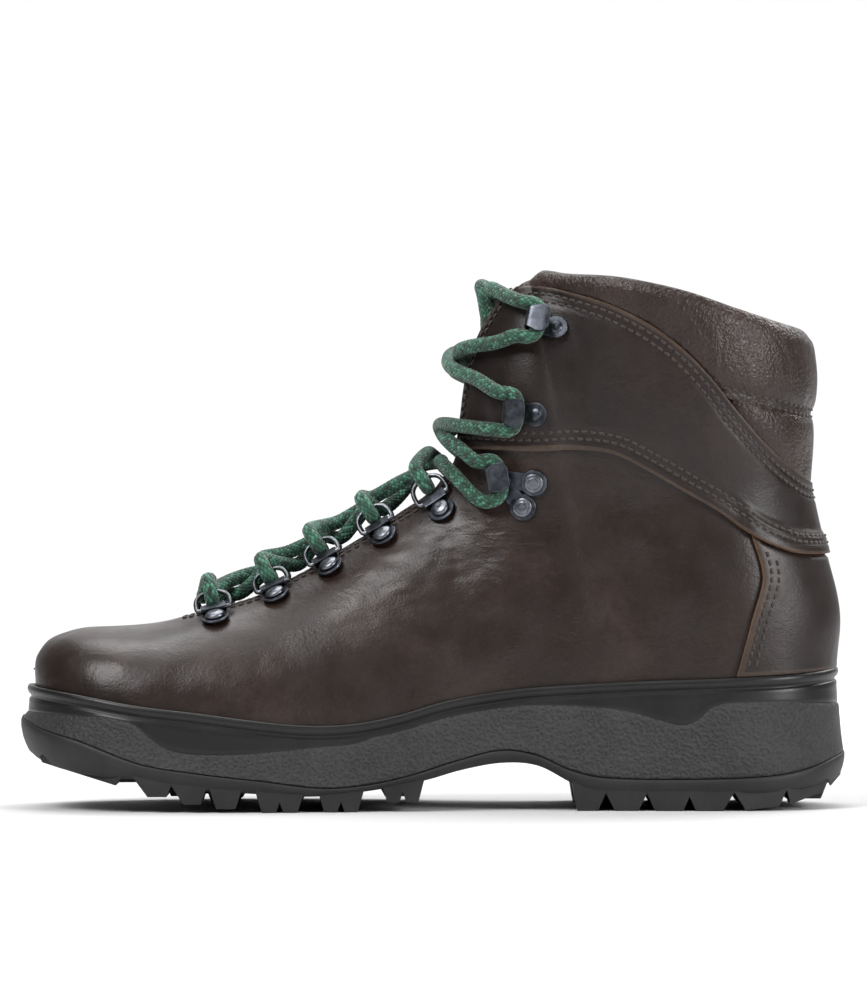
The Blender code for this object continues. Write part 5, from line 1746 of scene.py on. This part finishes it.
CARRIERS = 10               # yarns that cross round the lace
LACE_STEP = 0.6             # length of one ring of the lace's mesh
LACE_SIDES = 30
BRAID_PITCH = 1.9           # length of lace that one crossing of yarns takes


def make_lace(rings, hooks):
    knots = curve_through(lace_route(rings, hooks), 14.0, math.radians(38))
    fine = curve_through(knots, 0.2, math.radians(180))
    centre, total = even_steps(fine, LACE_STEP)
    centre, total = even_steps(rounded(centre, 6), LACE_STEP)
    verts, faces, uvs = [], [], []
    way = (centre[1] - centre[0]).normalized()
    across = way.orthogonal().normalized()
    distance = 0.0
    for k, point in enumerate(centre):
        before = centre[max(k - 1, 0)]
        after = centre[min(k + 1, len(centre) - 1)]
        way = (after - before).normalized()
        across = (across - way * across.dot(way)).normalized()
        other = way.cross(across)
        if k:
            distance += (point - before).length
        slump = 1 + 0.02 * noise.noise(Vector((distance * 0.05, 0, 3)))
        for j in range(LACE_SIDES):
            u = j / LACE_SIDES * CARRIERS
            w = distance / BRAID_PITCH
            swell = abs(math.sin((u + w) * math.pi)) * abs(math.sin((u - w) * math.pi))
            radius = (LACE_RADIUS - 0.22 + 0.2 * min(swell * 1.5, 1)) * slump
            angle = 2 * math.pi * j / LACE_SIDES
            verts.append(point + (across * math.cos(angle) + other * math.sin(angle)) * radius)
    count = len(centre)
    for k in range(count - 1):
        low = k * total / (count - 1) / BRAID_PITCH
        high = (k + 1) * total / (count - 1) / BRAID_PITCH
        for j in range(LACE_SIDES):
            i = (j + 1) % LACE_SIDES
            faces.append((k * LACE_SIDES + j, k * LACE_SIDES + i, (k + 1) * LACE_SIDES + i,
                          (k + 1) * LACE_SIDES + j))
            u0, u1 = j / LACE_SIDES * CARRIERS, (j + 1) / LACE_SIDES * CARRIERS
            uvs += [(u0, low), (u1, low), (u1, high), (u0, high)]
    for k, ring in ((0, range(LACE_SIDES)), (count - 1, range(LACE_SIDES - 1, -1, -1))):
        faces.append([k * LACE_SIDES + j for j in ring])
        uvs += [(0.5, 0.5)] * LACE_SIDES
    obj = piece("braided_lace", verts, faces, (BRAID,), "boot", ("lace",))
    layer = obj.data.uv_layers.new(name="braid")
    layer.data.foreach_set("uv", [value for pair in uvs for value in pair])
    turn_outwards(obj)
    return total


# Putting it together ----------------------------------------------------------------------------
def keep_node(name, material, bevel=0.0):
    """Leave a CAD solid showing, with its own material."""
    obj = bpy.data.objects[name]
    for slot_ in obj.material_slots:
        slot_.material = material
    if bevel:
        bevelled(obj, bevel, 2, 35)


def backdrop():
    """Pale floor that curves up behind the boot."""
    profile = [(-3.2, 0.0), (2.6, 0.0)] + [
        (2.6 + 0.8 * math.sin(math.radians(a)), 0.8 - 0.8 * math.cos(math.radians(a)))
        for a in range(6, 91, 6)] + [(3.4, 3.6)]
    verts, faces = [], []
    for y, z in profile:
        verts += [(-3.4, y, z), (3.4, y, z)]
    for k in range(len(profile) - 1):
        faces.append((2 * k, 2 * k + 1, 2 * k + 3, 2 * k + 2))
    mesh = bpy.data.meshes.new("backdrop")
    mesh.from_pydata(verts, [], faces)
    mesh.shade_smooth()
    mesh.materials.append(floor_material())
    put("backdrop", mesh)


def lamp(name, place, target, size, power):
    """Square soft light of a size in metres, aimed at a target."""
    light = bpy.data.lights.new(name, "AREA")
    light.shape = "SQUARE"
    light.size = size
    light.energy = power
    obj = put(name, light)
    obj.location = place
    obj.rotation_euler = (Vector(target) - Vector(place)).to_track_quat("-Z", "Y").to_euler()


def studio():
    backdrop()
    lamp("key", (-0.9, -1.1, 1.5), (0, 0, 0.1), 1.0, 34)
    lamp("front_fill", (0.7, -1.5, 0.5), (0, 0, 0.1), 1.2, 1.6)
    lamp("side", (1.2, -0.9, 0.55), (0.12, -0.03, 0.09), 0.5, 14)
    lamp("rim", (1.0, 0.9, 1.1), (0.05, 0, 0.12), 0.8, 12)
    lamp("top", (0, 0.1, 1.7), (0, 0, 0.1), 1.1, 11)
    lamp("background", (0, 1.6, 2.7), (0, 3.2, 0.8), 2.4, 110)
    world = bpy.data.worlds.new("studio")
    world.use_nodes = True
    world.node_tree.nodes["Background"].inputs["Color"].default_value = (1, 1, 1, 1)
    world.node_tree.nodes["Background"].inputs["Strength"].default_value = 0.10
    bpy.context.scene.world = world
    bpy.context.scene.view_settings.view_transform = "Standard"


CAMERA_DISTANCE = 2.2       # metres from the boot's middle, as are the next two
CAMERA_HEIGHT = 0.1138
SEEN_WIDTH = 0.323          # what the picture's width takes in at the boot's middle


def camera():
    """Level camera that looks at the boot's inner side."""
    data = bpy.data.cameras.new("camera")
    data.sensor_fit = "HORIZONTAL"
    data.sensor_width = 36
    data.lens = data.sensor_width * CAMERA_DISTANCE / SEEN_WIDTH
    obj = put("camera", data)
    obj.location = (0, -CAMERA_DISTANCE, CAMERA_HEIGHT)
    obj.rotation_euler = (math.pi / 2, 0, 0)
    bpy.context.scene.camera = obj


def main():
    camera()
    rings = make_d_rings()
    hooks = make_hooks()
    total = make_lace(rings, hooks)
    make_upper()
    make_collar()
    make_tongue()
    make_footbed()
    make_midsole()
    make_outsole()
    make_stitching()
    keep_node("shank", SPRING, 0.15)
    keep_node("insole_board", BOARD, 0.3)
    keep_node("toe_puff", STIFF)
    keep_node("heel_counter", STIFF)
    for word in ("inner", "outer"):
        keep_node(f"aglet_{word}", STEEL, 0.1)
    studio()
    print("lace length in mm:", round(total, 1))


main()
